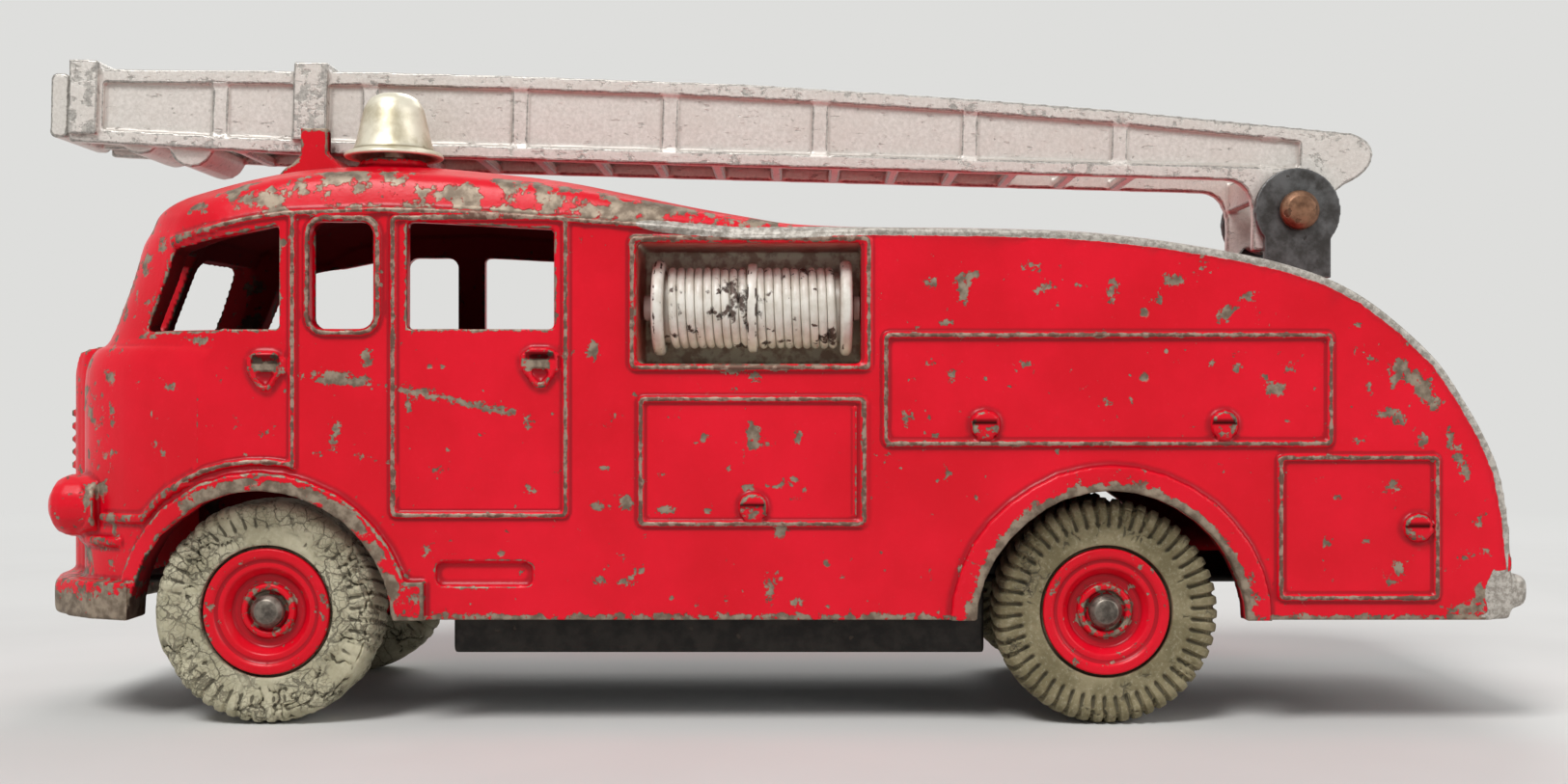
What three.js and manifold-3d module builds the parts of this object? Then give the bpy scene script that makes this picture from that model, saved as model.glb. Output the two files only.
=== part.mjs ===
import * as THREE from 'three';
import { mergeVertices } from 'three/addons/utils/BufferGeometryUtils.js';
import Module from 'manifold-3d';

const wasm = await Module();
wasm.setup();

// The vehicle's front points to -X, its left side to -Y, and Z is up from the floor. Sizes are in mm.

// Driving sizes
const bodyHalfWidth = 20;
const frontX = -66.5;
const rearX = 69.7;
const sillZ = 10;
const roofTopZ = 53.2;
const wallThickness = 1.6;
const fitGap = 0.3;
const cutOverrun = 1;
const surfaceTolerance = 0.035;
const bodyLength = rearX - frontX;
const bodyHeight = roofTopZ - sillZ;
const bodyMiddleX = (frontX + rearX) / 2;

const quarterTurn = Math.PI / 2;
const fullTurn = Math.PI * 2;
const sides = [-1, 1];

// Facets of rounded outlines
const curveFacets = 6;
const cornerFacets = 4;
const smallCornerFacets = 3;
const beadCornerFacets = 2;
const earFacets = 14;

// Wheels and axles
const frontOverhang = 20.7;
const rearOverhang = 37.1;
const tyreRadius = 10.5;
const tyreHalfWidth = 3.2;
const tyreShoulderRadius = 9.5;
const tyreTreadHalfWidth = 2.1;
const tyreWallDip = 0.5;
const rimRadius = 5.4;
const rimLipRadius = 5.9;
const rimLipWidth = 0.7;
const hubHalfWidth = 2.5;
const dishOuterRadius = 4.1;
const dishInnerRadius = 3;
const dishDepth = 1.2;
const bossRadius = 2.6;
const bossTop = 0.6;
const wheelInsetY = 4.4;
const axleRadius = 0.95;
const axleHeadRadius = 1.6;
const axleHeadDome = 0.9;
const axleHeadEdge = 0.3;
const wheelSides = 26;
const axleSides = 16;
const frontAxleX = frontX + frontOverhang;
const rearAxleX = rearX - rearOverhang;
const wheelCentreY = bodyHalfWidth - wheelInsetY;

// Arches
const frontArchRadius = 12.4;
const rearArchRadius = 12.4;
const frontFlareWidth = 1.7;
const rearFlareWidth = 2.3;
const flareProud = 0.8;
const archDrop = 0.5;
const archSides = 36;

// Ladder
const ladderTilt = 1.6 * Math.PI / 180;
const pivotX = 53.7;
const pivotDrop = 4;
const railOuterY = 5.8;
const railThickness = 1.2;
const pinRadius = 1;
const earThickness = 0.7;
const earGap = 0.5;
const stemHalfWidth = 3.3;
const pivotZ = roofTopZ - pivotDrop;
const railInnerY = railOuterY - railThickness;
const earInnerY = railOuterY + earGap;
const earOuterY = earInnerY + earThickness;

// Solids and geometry
function solidOf(geometry) {
  const bare = geometry.clone();
  bare.deleteAttribute('normal');
  bare.deleteAttribute('uv');
  const merged = mergeVertices(bare);
  return new wasm.Manifold(new wasm.Mesh({
    numProp: 3,
    vertProperties: new Float32Array(merged.attributes.position.array),
    triVerts: new Uint32Array(merged.index.array),
  }));
}

function geometryOf(solid) {
  const mesh = solid.simplify(surfaceTolerance).getMesh();
  const geometry = new THREE.BufferGeometry();
  geometry.setAttribute('position', new THREE.BufferAttribute(new Float32Array(mesh.vertProperties), 3));
  geometry.setIndex(new THREE.BufferAttribute(new Uint32Array(mesh.triVerts), 1));
  return geometry;
}

function together(solids) {
  return solids.reduce((sum, next) => sum.add(next));
}

function box(fromX, toX, fromY, toY, fromZ, toZ) {
  const geometry = new THREE.BoxGeometry(toX - fromX, toY - fromY, toZ - fromZ);
  geometry.translate((fromX + toX) / 2, (fromY + toY) / 2, (fromZ + toZ) / 2);
  return solidOf(geometry);
}

function prismAlongY(outline, fromY, toY, curveSegments = curveFacets) {
  const options = { depth: toY - fromY, bevelEnabled: false, curveSegments };
  const geometry = new THREE.ExtrudeGeometry(outline, options);
  geometry.rotateX(quarterTurn);
  geometry.translate(0, toY, 0);
  return solidOf(geometry);
}

function prismAlongZ(outline, fromZ, toZ, curveSegments = curveFacets) {
  const options = { depth: toZ - fromZ, bevelEnabled: false, curveSegments };
  const geometry = new THREE.ExtrudeGeometry(outline, options);
  geometry.translate(0, 0, fromZ);
  return solidOf(geometry);
}

function prismAlongX(outline, fromX, toX, curveSegments = curveFacets) {
  const options = { depth: toX - fromX, bevelEnabled: false, curveSegments };
  const geometry = new THREE.ExtrudeGeometry(outline, options);
  const acrossY = new THREE.Vector3(0, 1, 0);
  const upZ = new THREE.Vector3(0, 0, 1);
  const alongX = new THREE.Vector3(1, 0, 0);
  geometry.applyMatrix4(new THREE.Matrix4().makeBasis(acrossY, upZ, alongX));
  geometry.translate(fromX, 0, 0);
  return solidOf(geometry);
}

function rodAlongY(radius, x, z, fromY, toY, facets) {
  const geometry = new THREE.CylinderGeometry(radius, radius, toY - fromY, facets);
  geometry.translate(x, (fromY + toY) / 2, z);
  return solidOf(geometry);
}

function rodAlongZ(radius, x, y, fromZ, toZ, facets) {
  const geometry = new THREE.CylinderGeometry(radius, radius, toZ - fromZ, facets);
  geometry.rotateX(quarterTurn);
  geometry.translate(x, y, (fromZ + toZ) / 2);
  return solidOf(geometry);
}

function turnedAlongY(profile, facets) {
  const points = profile.map(([radius, along]) => new THREE.Vector2(radius, along));
  return new THREE.LatheGeometry(points, facets);
}

function shapeThrough(points) {
  return new THREE.Shape(points.map(([x, y]) => new THREE.Vector2(x, y)));
}

const cornerRoomShare = 0.49;

function roundedOutline(path, fromX, toX, fromZ, toZ, fullRadius) {
  const radius = Math.min(fullRadius, cornerRoomShare * (toX - fromX), cornerRoomShare * (toZ - fromZ));
  path.moveTo(fromX + radius, fromZ);
  path.lineTo(toX - radius, fromZ);
  path.absarc(toX - radius, fromZ + radius, radius, -quarterTurn, 0, false);
  path.lineTo(toX, toZ - radius);
  path.absarc(toX - radius, toZ - radius, radius, 0, quarterTurn, false);
  path.lineTo(fromX + radius, toZ);
  path.absarc(fromX + radius, toZ - radius, radius, quarterTurn, 2 * quarterTurn, false);
  path.lineTo(fromX, fromZ + radius);
  path.absarc(fromX + radius, fromZ + radius, radius, 2 * quarterTurn, 3 * quarterTurn, false);
  return path;
}

// A flat band of even width along a line of points
function ribbonOutline(points, width) {
  const upper = [];
  const lower = [];
  points.forEach(([x, z], index) => {
    const [beforeX, beforeZ] = points[Math.max(index - 1, 0)];
    const [afterX, afterZ] = points[Math.min(index + 1, points.length - 1)];
    const run = new THREE.Vector2(afterX - beforeX, afterZ - beforeZ).normalize();
    upper.push([x - run.y * width / 2, z + run.x * width / 2]);
    lower.unshift([x + run.y * width / 2, z - run.x * width / 2]);
  });
  return shapeThrough([...upper, ...lower]);
}

// Body form: stations from nose to tail, each bent round the nose and dropped towards its sides
// Each row holds shares of body length, body height, nose wrap and roof drop.
const noseWrap = 15;
const roofDrop = 5.4;
const noseCurvePower = 5;
const roofCurvePower = 3.2;
const acrossShares = [0, 0.4, 0.68, 0.85, 0.95, 1];
const insideAcrossShares = [0, 0.68, 0.95, 1];
const stationShares = [
  [0, 0.498, 1, 0.11],
  [0.002, 0.544, 0.993, 0.11],
  [0.008, 0.579, 0.98, 0.11],
  [0.018, 0.6, 0.947, 0.1],
  [0.026, 0.66, 0.893, 0.1],
  [0.035, 0.729, 0.833, 0.1],
  [0.044, 0.81, 0.76, 0.1],
  [0.051, 0.847, 0.707, 0.15],
  [0.058, 0.887, 0.65, 0.35],
  [0.075, 0.921, 0.533, 0.59],
  [0.104, 0.949, 0.36, 0.76],
  [0.134, 0.972, 0.193, 0.89],
  [0.168, 0.991, 0.067, 0.96],
  [0.209, 1, 0, 1],
  [0.253, 0.998, 0, 0.98],
  [0.297, 0.986, 0, 0.93],
  [0.351, 0.965, 0, 0.87],
  [0.4, 0.933, 0, 0.69],
  [0.444, 0.903, 0, 0.56],
  [0.481, 0.88, 0, 0.44],
  [0.51, 0.861, 0, 0.28],
  [0.54, 0.85, 0, 0.15],
  [0.569, 0.845, 0, 0.09],
  [0.635, 0.843, 0, 0.09],
  [0.694, 0.838, 0, 0.09],
  [0.731, 0.829, 0, 0.09],
  [0.767, 0.815, 0, 0.09],
  [0.811, 0.792, 0, 0.09],
  [0.844, 0.769, 0, 0.09],
  [0.874, 0.738, 0, 0.09],
  [0.899, 0.697, 0, 0.09],
  [0.925, 0.634, 0, 0.09],
  [0.949, 0.56, 0, 0.09],
  [0.965, 0.486, 0, 0.09],
  [0.979, 0.41, 0, 0.09],
  [0.99, 0.329, 0, 0.09],
  [0.996, 0.231, 0, 0.09],
  [1, 0.104, 0, 0.09],
];

function bodyForm(insetX, insetY, insetZ, bottomZ, inside = false) {
  const shares = inside ? insideAcrossShares : acrossShares;
  const lastStation = stationShares.length - 1;
  const stations = stationShares.filter((row, index) => !inside || index % 2 === 0 || index === lastStation);
  const scaleX = 1 - 2 * insetX / bodyLength;
  const scaleY = 1 - insetY / bodyHalfWidth;
  const scaleZ = 1 - insetZ / bodyHeight;
  const across = [...shares.slice(1).reverse().map((share) => -share), ...shares];
  const columns = across.length;
  const rows = stations.length;
  const positions = [];
  const corners = [];
  for (const [lengthShare, heightShare, wrapShare, dropShare] of stations) {
    for (const share of across) {
      const reach = Math.abs(share);
      const wrap = noseWrap * wrapShare * reach ** noseCurvePower;
      const drop = roofDrop * dropShare * (1 - (1 - reach ** roofCurvePower) ** (1 / roofCurvePower));
      const x = frontX + bodyLength * lengthShare + wrap;
      positions.push(bodyMiddleX + (x - bodyMiddleX) * scaleX);
      positions.push(bodyHalfWidth * share * scaleY);
      positions.push(sillZ + (bodyHeight * heightShare - drop) * scaleZ);
    }
  }
  for (let index = 0; index < rows * columns; index += 1) {
    positions.push(positions[3 * index], positions[3 * index + 1], bottomZ);
  }
  const top = (row, column) => row * columns + column;
  const bottom = (row, column) => rows * columns + top(row, column);
  const quad = (a, b, c, d) => corners.push(a, b, c, a, c, d);
  for (let row = 0; row < rows - 1; row += 1) {
    for (let column = 0; column < columns - 1; column += 1) {
      const nextRow = row + 1;
      const next = column + 1;
      quad(top(row, column), top(nextRow, column), top(nextRow, next), top(row, next));
      quad(bottom(row, column), bottom(row, next), bottom(nextRow, next), bottom(nextRow, column));
    }
    const far = columns - 1;
    quad(bottom(row, 0), bottom(row + 1, 0), top(row + 1, 0), top(row, 0));
    quad(bottom(row + 1, far), bottom(row, far), top(row, far), top(row + 1, far));
  }
  for (let column = 0; column < columns - 1; column += 1) {
    const last = rows - 1;
    quad(bottom(0, column + 1), bottom(0, column), top(0, column), top(0, column + 1));
    quad(bottom(last, column), bottom(last, column + 1), top(last, column + 1), top(last, column));
  }
  const geometry = new THREE.BufferGeometry();
  geometry.setAttribute('position', new THREE.BufferAttribute(new Float32Array(positions), 3));
  geometry.setIndex(corners);
  return solidOf(geometry);
}

// Whatever the outline covers on both flanks, raised above the body form by the stated height
function raisedOnFlanks(solid, proud) {
  return solid.intersect(bodyForm(-proud, -proud, -proud, sillZ));
}

const flankReach = bodyHalfWidth + 2 * cutOverrun;

function acrossBody(outline, curveSegments = curveFacets) {
  return prismAlongY(outline, -flankReach, flankReach, curveSegments);
}

// Side openings of the cab
const windowSillZ = 36.8;
const frontWindowFrontX = -57.2;
const frontWindowTopFrontX = -54.2;
const frontWindowRearX = -43.8;
const frontWindowTopFrontZ = 44.3;
const frontWindowTopRearZ = 46.4;
const smallWindowFrontX = -41;
const smallWindowRearX = -35.2;
const smallWindowTopZ = 46.7;
const smallWindowCorner = 1.2;
const rearWindowFrontX = -32.2;
const rearWindowRearX = -18.7;
const rearWindowTopFrontZ = 46.7;
const rearWindowTopRearZ = 46;
const windscreenCornerWidth = 7;
const windscreenPillarHalfWidth = 0.8;
const windscreenTopZ = 45;
const windscreenCorner = 1.4;
const windscreenRearX = -52;
const windscreenHalfWidth = bodyHalfWidth - windscreenCornerWidth;

function frontWindowOutline() {
  return shapeThrough([
    [frontWindowFrontX, windowSillZ],
    [frontWindowRearX, windowSillZ],
    [frontWindowRearX, frontWindowTopRearZ],
    [frontWindowTopFrontX, frontWindowTopFrontZ],
  ]);
}

function rearWindowOutline() {
  return shapeThrough([
    [rearWindowFrontX, windowSillZ],
    [rearWindowRearX, windowSillZ],
    [rearWindowRearX, rearWindowTopRearZ],
    [rearWindowFrontX, rearWindowTopFrontZ],
  ]);
}

function smallWindowOutline(path, margin) {
  return roundedOutline(path, smallWindowFrontX - margin, smallWindowRearX + margin,
    windowSillZ - margin, smallWindowTopZ + margin, smallWindowCorner + margin);
}

function windowCuts() {
  const cuts = [
    acrossBody(frontWindowOutline()),
    acrossBody(rearWindowOutline()),
    acrossBody(smallWindowOutline(new THREE.Shape(), 0), cornerFacets),
  ];
  for (const side of sides) {
    const nearY = side < 0 ? -windscreenHalfWidth : windscreenPillarHalfWidth;
    const farY = side < 0 ? -windscreenPillarHalfWidth : windscreenHalfWidth;
    const pane = roundedOutline(new THREE.Shape(), nearY, farY, windowSillZ, windscreenTopZ,
      windscreenCorner);
    cuts.push(prismAlongX(pane, frontX - cutOverrun, windscreenRearX, cornerFacets));
  }
  return together(cuts);
}

// Raised mouldings of the flanks
const beadWidth = 0.7;
const beadProud = 0.45;
const frontDoorRearX = -42.7;
const frontDoorTopZ = 47.3;
const frontDoorLevelRun = 4.6;
const frontDoorLowZ = 19.2;
const frontDoorArchGap = 1;
const frontDoorArchSteps = 8;
const rearDoorFrontX = -33.8;
const rearDoorRearX = -17.2;
const rearDoorLowZ = 19.3;
const rearDoorTopZ = 47.4;
const doorCorner = 0.6;
const reelPocketFrontX = -11.1;
const reelPocketRearX = 10;
const reelPocketLowZ = 33.6;
const reelPocketTopZ = 44.8;
const reelPocketDepth = 9.8;
const lowLockerFrontX = -11;
const lowLockerRearX = 10.3;
const lowLockerLowZ = 18.5;
const lowLockerTopZ = 30.7;
const longLockerFrontX = 11.6;
const longLockerRearX = 53.2;
const longLockerLowZ = 25.9;
const longLockerTopZ = 36.6;
const rearLockerFrontX = 47.9;
const rearLockerRearX = 63;
const rearLockerLowZ = 11.7;
const rearLockerTopZ = 25.3;
const gutterShares = [
  [0.086, 0.81],
  [0.12, 0.838],
  [0.145, 0.856],
  [0.171, 0.868],
  [0.236, 0.875],
  [0.291, 0.87],
  [0.341, 0.859],
  [0.391, 0.847],
  [0.433, 0.836],
  [0.466, 0.826],
];
const apronBeadZ = 16.6;
const reelPocketBackY = bodyHalfWidth - reelPocketDepth;

function frameOutline(fromX, toX, fromZ, toZ, radius) {
  const frame = roundedOutline(new THREE.Shape(), fromX, toX, fromZ, toZ, radius);
  const inner = roundedOutline(new THREE.Path(), fromX + beadWidth, toX - beadWidth,
    fromZ + beadWidth, toZ - beadWidth, radius / 2);
  frame.holes.push(inner);
  return frame;
}

// The front door's lower edge runs level from the nose, then follows the wheel arch up
function frontDoorLowerEdge() {
  const reach = frontArchRadius + frontFlareWidth + frontDoorArchGap;
  const archCentreZ = sillZ - archDrop;
  const start = Math.PI - Math.asin((frontDoorLowZ - archCentreZ) / reach);
  const finish = Math.acos((frontDoorRearX - frontAxleX) / reach);
  const line = [[frontAxleX + reach * Math.cos(start) - frontDoorLevelRun, frontDoorLowZ]];
  for (let step = 0; step <= frontDoorArchSteps; step += 1) {
    const angle = start + (finish - start) * step / frontDoorArchSteps;
    line.push([frontAxleX + reach * Math.cos(angle), archCentreZ + reach * Math.sin(angle)]);
  }
  return line;
}

function smallWindowFrame() {
  const frame = smallWindowOutline(new THREE.Shape(), beadWidth);
  frame.holes.push(smallWindowOutline(new THREE.Path(), 0));
  return frame;
}

function flankBeads() {
  const gutter = gutterShares.map(([lengthShare, heightShare]) => [
    frontX + bodyLength * lengthShare,
    sillZ + bodyHeight * heightShare,
  ]);
  const lowerEdge = frontDoorLowerEdge();
  const rearEdgeLowZ = lowerEdge[lowerEdge.length - 1][1] - beadWidth / 2;
  const outlines = [
    ribbonOutline(gutter, beadWidth),
    ribbonOutline(lowerEdge, beadWidth),
    ribbonOutline([[frontDoorRearX, rearEdgeLowZ], [frontDoorRearX, frontDoorTopZ]], beadWidth),
    smallWindowFrame(),
    frameOutline(rearDoorFrontX, rearDoorRearX, rearDoorLowZ, rearDoorTopZ, doorCorner),
    frameOutline(reelPocketFrontX - beadWidth, reelPocketRearX + beadWidth,
      reelPocketLowZ - beadWidth, reelPocketTopZ + beadWidth, doorCorner),
    frameOutline(lowLockerFrontX, lowLockerRearX, lowLockerLowZ, lowLockerTopZ, doorCorner),
    frameOutline(longLockerFrontX, longLockerRearX, longLockerLowZ, longLockerTopZ, doorCorner),
    frameOutline(rearLockerFrontX, rearLockerRearX, rearLockerLowZ, rearLockerTopZ, doorCorner),
  ];
  const beads = outlines.map((outline) => acrossBody(outline, beadCornerFacets));
  const noseEndX = frontAxleX - frontArchRadius - frontFlareWidth;
  beads.push(box(frontX - cutOverrun, noseEndX, -flankReach, flankReach, apronBeadZ, apronBeadZ + beadWidth));
  return raisedOnFlanks(together(beads), beadProud);
}

// Locker knobs and door handles
const knobRadius = 1.3;
const knobProud = 0.7;
const knobSlotHalfHeight = 0.15;
const knobSlotDepth = 0.3;
const knobSides = 12;
const handleHalfWidth = 1.7;
const handleUpperHeight = 1.4;
const handleLowerHeight = 2.2;
const handleRim = 0.5;
const handleProud = 0.5;
const handleBarHalfHeight = 0.4;
const lowLockerKnobZ = 20.4;
const longLockerKnobZ = 28;
const longLockerFrontKnobX = 21;
const longLockerRearKnobX = 43;
const rearLockerKnobX = 60.8;
const frontHandleX = -45.1;
const frontHandleZ = 33.3;
const rearHandleX = -19.9;
const rearHandleZ = 33.6;
const knobPlaces = [
  [(lowLockerFrontX + lowLockerRearX) / 2, lowLockerKnobZ],
  [longLockerFrontKnobX, longLockerKnobZ],
  [longLockerRearKnobX, longLockerKnobZ],
  [rearLockerKnobX, (rearLockerLowZ + rearLockerTopZ) / 2],
];
const handlePlaces = [
  [frontHandleX, frontHandleZ],
  [rearHandleX, rearHandleZ],
];

function knobsOnFlanks() {
  const faceY = bodyHalfWidth + knobProud;
  const knobs = knobPlaces.map(([x, z]) => {
    const knob = rodAlongY(knobRadius, x, z, -faceY, faceY, knobSides);
    const slots = sides.map((side) => {
      const slotFloorY = side * (faceY - knobSlotDepth);
      const slotOuterY = side * (faceY + cutOverrun);
      return box(x - knobRadius - cutOverrun, x + knobRadius + cutOverrun,
        Math.min(slotFloorY, slotOuterY), Math.max(slotFloorY, slotOuterY),
        z - knobSlotHalfHeight, z + knobSlotHalfHeight);
    });
    return knob.subtract(together(slots));
  });
  return together(knobs);
}

function shieldOutline(path, x, z, shrink) {
  const halfWidth = handleHalfWidth - shrink;
  const upper = handleUpperHeight - shrink;
  const lower = handleLowerHeight - shrink;
  const shoulder = halfWidth / 2;
  path.moveTo(x - halfWidth, z + shoulder);
  path.lineTo(x - halfWidth, z - shoulder / 2);
  path.lineTo(x - shoulder / 2, z - lower);
  path.lineTo(x + shoulder / 2, z - lower);
  path.lineTo(x + halfWidth, z - shoulder / 2);
  path.lineTo(x + halfWidth, z + shoulder);
  path.lineTo(x + shoulder, z + upper);
  path.lineTo(x - shoulder, z + upper);
  path.closePath();
  return path;
}

function handlesOnFlanks() {
  const handles = handlePlaces.map(([x, z]) => {
    const rim = shieldOutline(new THREE.Shape(), x, z, 0);
    rim.holes.push(shieldOutline(new THREE.Path(), x, z, handleRim));
    const bar = box(x - handleHalfWidth + handleRim / 2, x + handleHalfWidth - handleRim / 2,
      -flankReach, flankReach, z - handleBarHalfHeight, z + handleBarHalfHeight);
    return acrossBody(rim).add(bar);
  });
  return raisedOnFlanks(together(handles), handleProud);
}

// Wheel arches with their flares and the sill block behind the front one
const sillBlockLength = 2.9;
const sillBlockTopZ = 13.5;

function flareOutline(axleX, radius, width) {
  const ring = new THREE.Shape();
  ring.absarc(axleX, sillZ - archDrop, radius + width, 0, fullTurn, false);
  const inner = new THREE.Path();
  inner.absarc(axleX, sillZ - archDrop, radius - cutOverrun, 0, fullTurn, false);
  ring.holes.push(inner);
  return ring;
}

function archFlares() {
  const frontFlare = acrossBody(flareOutline(frontAxleX, frontArchRadius, frontFlareWidth), archSides / 2);
  const rearFlare = acrossBody(flareOutline(rearAxleX, rearArchRadius, rearFlareWidth), archSides / 2);
  const blockFrontX = frontAxleX + frontArchRadius - cutOverrun;
  const block = box(blockFrontX, blockFrontX + cutOverrun + sillBlockLength, -flankReach, flankReach,
    sillZ, sillBlockTopZ);
  return raisedOnFlanks(together([frontFlare, rearFlare, block]), flareProud);
}

function archCuts() {
  const archCentreZ = sillZ - archDrop;
  return together([
    rodAlongY(frontArchRadius, frontAxleX, archCentreZ, -flankReach, flankReach, archSides),
    rodAlongY(rearArchRadius, rearAxleX, archCentreZ, -flankReach, flankReach, archSides),
  ]);
}

// Sunken step under the rear door
const stepFrontX = -29.5;
const stepRearX = -20.6;
const stepLowZ = 13.1;
const stepTopZ = 15.3;
const stepDepth = 0.5;

function stepCuts() {
  const radius = (stepTopZ - stepLowZ) / 3;
  const outline = roundedOutline(new THREE.Shape(), stepFrontX, stepRearX, stepLowZ, stepTopZ, radius);
  const cuts = sides.map((side) => {
    const floorY = side * (bodyHalfWidth - stepDepth);
    const outerY = side * flankReach;
    return prismAlongY(outline, Math.min(floorY, outerY), Math.max(floorY, outerY), smallCornerFacets);
  });
  return together(cuts);
}

// Nose: grille bulge with slats, lamps and bumpers
const bulgeProud = 2.1;
const bulgeDepth = 9;
const bulgeHalfWidth = 9;
const bulgeLowZ = 13;
const bulgeRoundRadius = 3.5;
const bulgeTopZ = 35;
const bulgeShoulder = 2.6;
const slatCount = 8;
const slatPitch = 1.3;
const slatHeight = 0.6;
const slatTopZ = 29.3;
const slatHalfWidth = 6.2;
const slatProud = 0.45;
const lampInsetY = 6.6;
const lampZ = 20.2;
const lampRadius = 3;
const lampEdgeSetback = 0.6;
const lampDome = 1.9;
const lampRootLength = 3.4;
const lampSides = 16;
const lampRings = 3;
const bumperProudX = 3;
const bumperProudY = 0.9;
const bumperLowZ = 9.8;
const bumperTopZ = 13.3;
const bumperReach = 8.3;
const rearBumperDepth = 1.9;
const rearBumperLowZ = 11;
const rearBumperTopZ = 14.1;
const rearBumperInset = 0.6;
const bulgeFrontX = frontX - bulgeProud;
const bulgeRearX = frontX + bulgeDepth;
const lampEdgeX = frontX + lampEdgeSetback;
const lampY = bodyHalfWidth - lampInsetY;
const bumperEndX = frontX + bumperReach;
const rearBumperHalfWidth = bodyHalfWidth - rearBumperInset;

function grilleBulge() {
  const side = shapeThrough([
    [bulgeRearX, bulgeLowZ],
    [bulgeFrontX, bulgeLowZ],
    [bulgeFrontX, bulgeTopZ - bulgeShoulder],
    [bulgeFrontX + bulgeShoulder / 4, bulgeTopZ - bulgeShoulder / 2],
    [bulgeFrontX + bulgeShoulder / 2, bulgeTopZ],
    [bulgeFrontX + 2 * bulgeShoulder, bulgeTopZ + bulgeShoulder / 3],
    [bulgeRearX, bulgeTopZ + bulgeShoulder / 3],
  ]);
  const plan = roundedOutline(new THREE.Shape(), bulgeFrontX, bulgeRearX + bulgeRoundRadius,
    -bulgeHalfWidth, bulgeHalfWidth, bulgeRoundRadius);
  const bulge = prismAlongY(side, -bulgeHalfWidth, bulgeHalfWidth)
    .intersect(prismAlongZ(plan, bulgeLowZ - cutOverrun, roofTopZ, cornerFacets));
  const slats = [];
  for (let index = 0; index < slatCount; index += 1) {
    const topZ = slatTopZ - index * slatPitch;
    slats.push(box(bulgeFrontX - slatProud, bulgeFrontX + slatProud, -slatHalfWidth, slatHalfWidth,
      topZ - slatHeight, topZ));
  }
  return together([bulge, ...slats]);
}

function headLamps() {
  const profile = [[0, lampRootLength], [lampRadius, lampRootLength], [lampRadius, 0]];
  for (let ring = 1; ring < lampRings; ring += 1) {
    const angle = quarterTurn * ring / lampRings;
    profile.push([lampRadius * Math.cos(angle), -lampDome * Math.sin(angle)]);
  }
  profile.push([0, -lampDome]);
  const lamps = sides.map((side) => {
    const geometry = turnedAlongY([...profile].reverse(), lampSides);
    geometry.rotateZ(-quarterTurn);
    geometry.translate(lampEdgeX, side * lampY, lampZ);
    return solidOf(geometry);
  });
  return together(lamps);
}

function bumpers() {
  const wrapForm = bodyForm(-bumperProudX, -bumperProudY, 0, sillZ - cutOverrun);
  const front = box(frontX - 2 * bumperProudX, bumperEndX, -flankReach, flankReach, bumperLowZ, bumperTopZ)
    .intersect(wrapForm);
  const radius = rearBumperDepth / 2;
  const plan = roundedOutline(new THREE.Shape(), rearX - rearBumperDepth, rearX + rearBumperDepth,
    -rearBumperHalfWidth, rearBumperHalfWidth, radius);
  const side = roundedOutline(new THREE.Shape(), rearX - rearBumperDepth, rearX + rearBumperDepth,
    rearBumperLowZ, rearBumperTopZ, radius);
  const rear = prismAlongZ(plan, rearBumperLowZ - cutOverrun, rearBumperTopZ + cutOverrun, smallCornerFacets)
    .intersect(prismAlongY(side, -bodyHalfWidth, bodyHalfWidth, smallCornerFacets));
  return front.add(rear);
}

// Roof furniture: ladder cradle, bell seat and ladder bracket seat
const cradleFrontX = -45.5;
const cradleWidth = 2.7;
const cradleSeatRise = 1.5;
const cradleRootDepth = 3.2;
const cradleFlareDepth = 0.6;
const cradleFlare = 2.2;
const prongGap = 0.9;
const prongThickness = 1.3;
const prongRise = 4.1;
const bellX = -35.4;
const bellInsetY = 8.5;
const bellSeatRadius = 3.2;
const bellSeatRise = 0.2;
const bellSpigotRadius = 0.9;
const bellSpigotLength = 2;
const bracketSeatRadius = 4.3;
const bracketStandHeight = 7;
const bracketSeatRootZ = 37.9;
const rivetShankRadius = 0.9;
const seatSides = 20;
const prongInnerY = railOuterY + prongGap;
const prongOuterY = prongInnerY + prongThickness;
const bracketSeatZ = pivotZ - bracketStandHeight;
const roofInsetZ = roofTopZ - wallThickness;
const cradleRearX = cradleFrontX + cradleWidth;
const cradleSeatZ = roofTopZ + cradleSeatRise;
const cradleRootZ = roofTopZ - cradleRootDepth;
const cradleFlareZ = roofTopZ - cradleFlareDepth;
const prongTopZ = roofTopZ + prongRise;
const bellY = bellInsetY - bodyHalfWidth;
const bellSeatZ = roofTopZ + bellSeatRise;

function ladderCradle() {
  const front = shapeThrough([
    [-prongOuterY, cradleRootZ],
    [prongOuterY, cradleRootZ],
    [prongOuterY, prongTopZ],
    [prongInnerY, prongTopZ],
    [prongInnerY, cradleSeatZ],
    [-prongInnerY, cradleSeatZ],
    [-prongInnerY, prongTopZ],
    [-prongOuterY, prongTopZ],
  ]);
  const flare = shapeThrough([
    [cradleFrontX - cradleFlare, cradleRootZ],
    [cradleRearX + cradleFlare, cradleRootZ],
    [cradleRearX + cradleFlare, cradleFlareZ],
    [cradleRearX, cradleSeatZ],
    [cradleFrontX, cradleSeatZ],
    [cradleFrontX - cradleFlare, cradleFlareZ],
  ]);
  return prismAlongX(front, cradleFrontX, cradleRearX).add(prismAlongY(flare, -prongOuterY, prongOuterY));
}

function roofFurniture() {
  const bellSeat = rodAlongZ(bellSeatRadius, bellX, bellY, roofInsetZ - bellSpigotLength, bellSeatZ,
    seatSides);
  const bracketSeat = rodAlongZ(bracketSeatRadius, pivotX, 0, bracketSeatRootZ, bracketSeatZ, seatSides);
  return together([ladderCradle(), bellSeat, bracketSeat]);
}

// Level seat cut into the sloping deck for the bracket's foot
function bracketSeatCut() {
  const reachX = stemHalfWidth + fitGap;
  const reachY = earOuterY + fitGap;
  return box(pivotX - reachX, pivotX + reachX, -reachY, reachY, bracketSeatZ, pivotZ);
}

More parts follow.
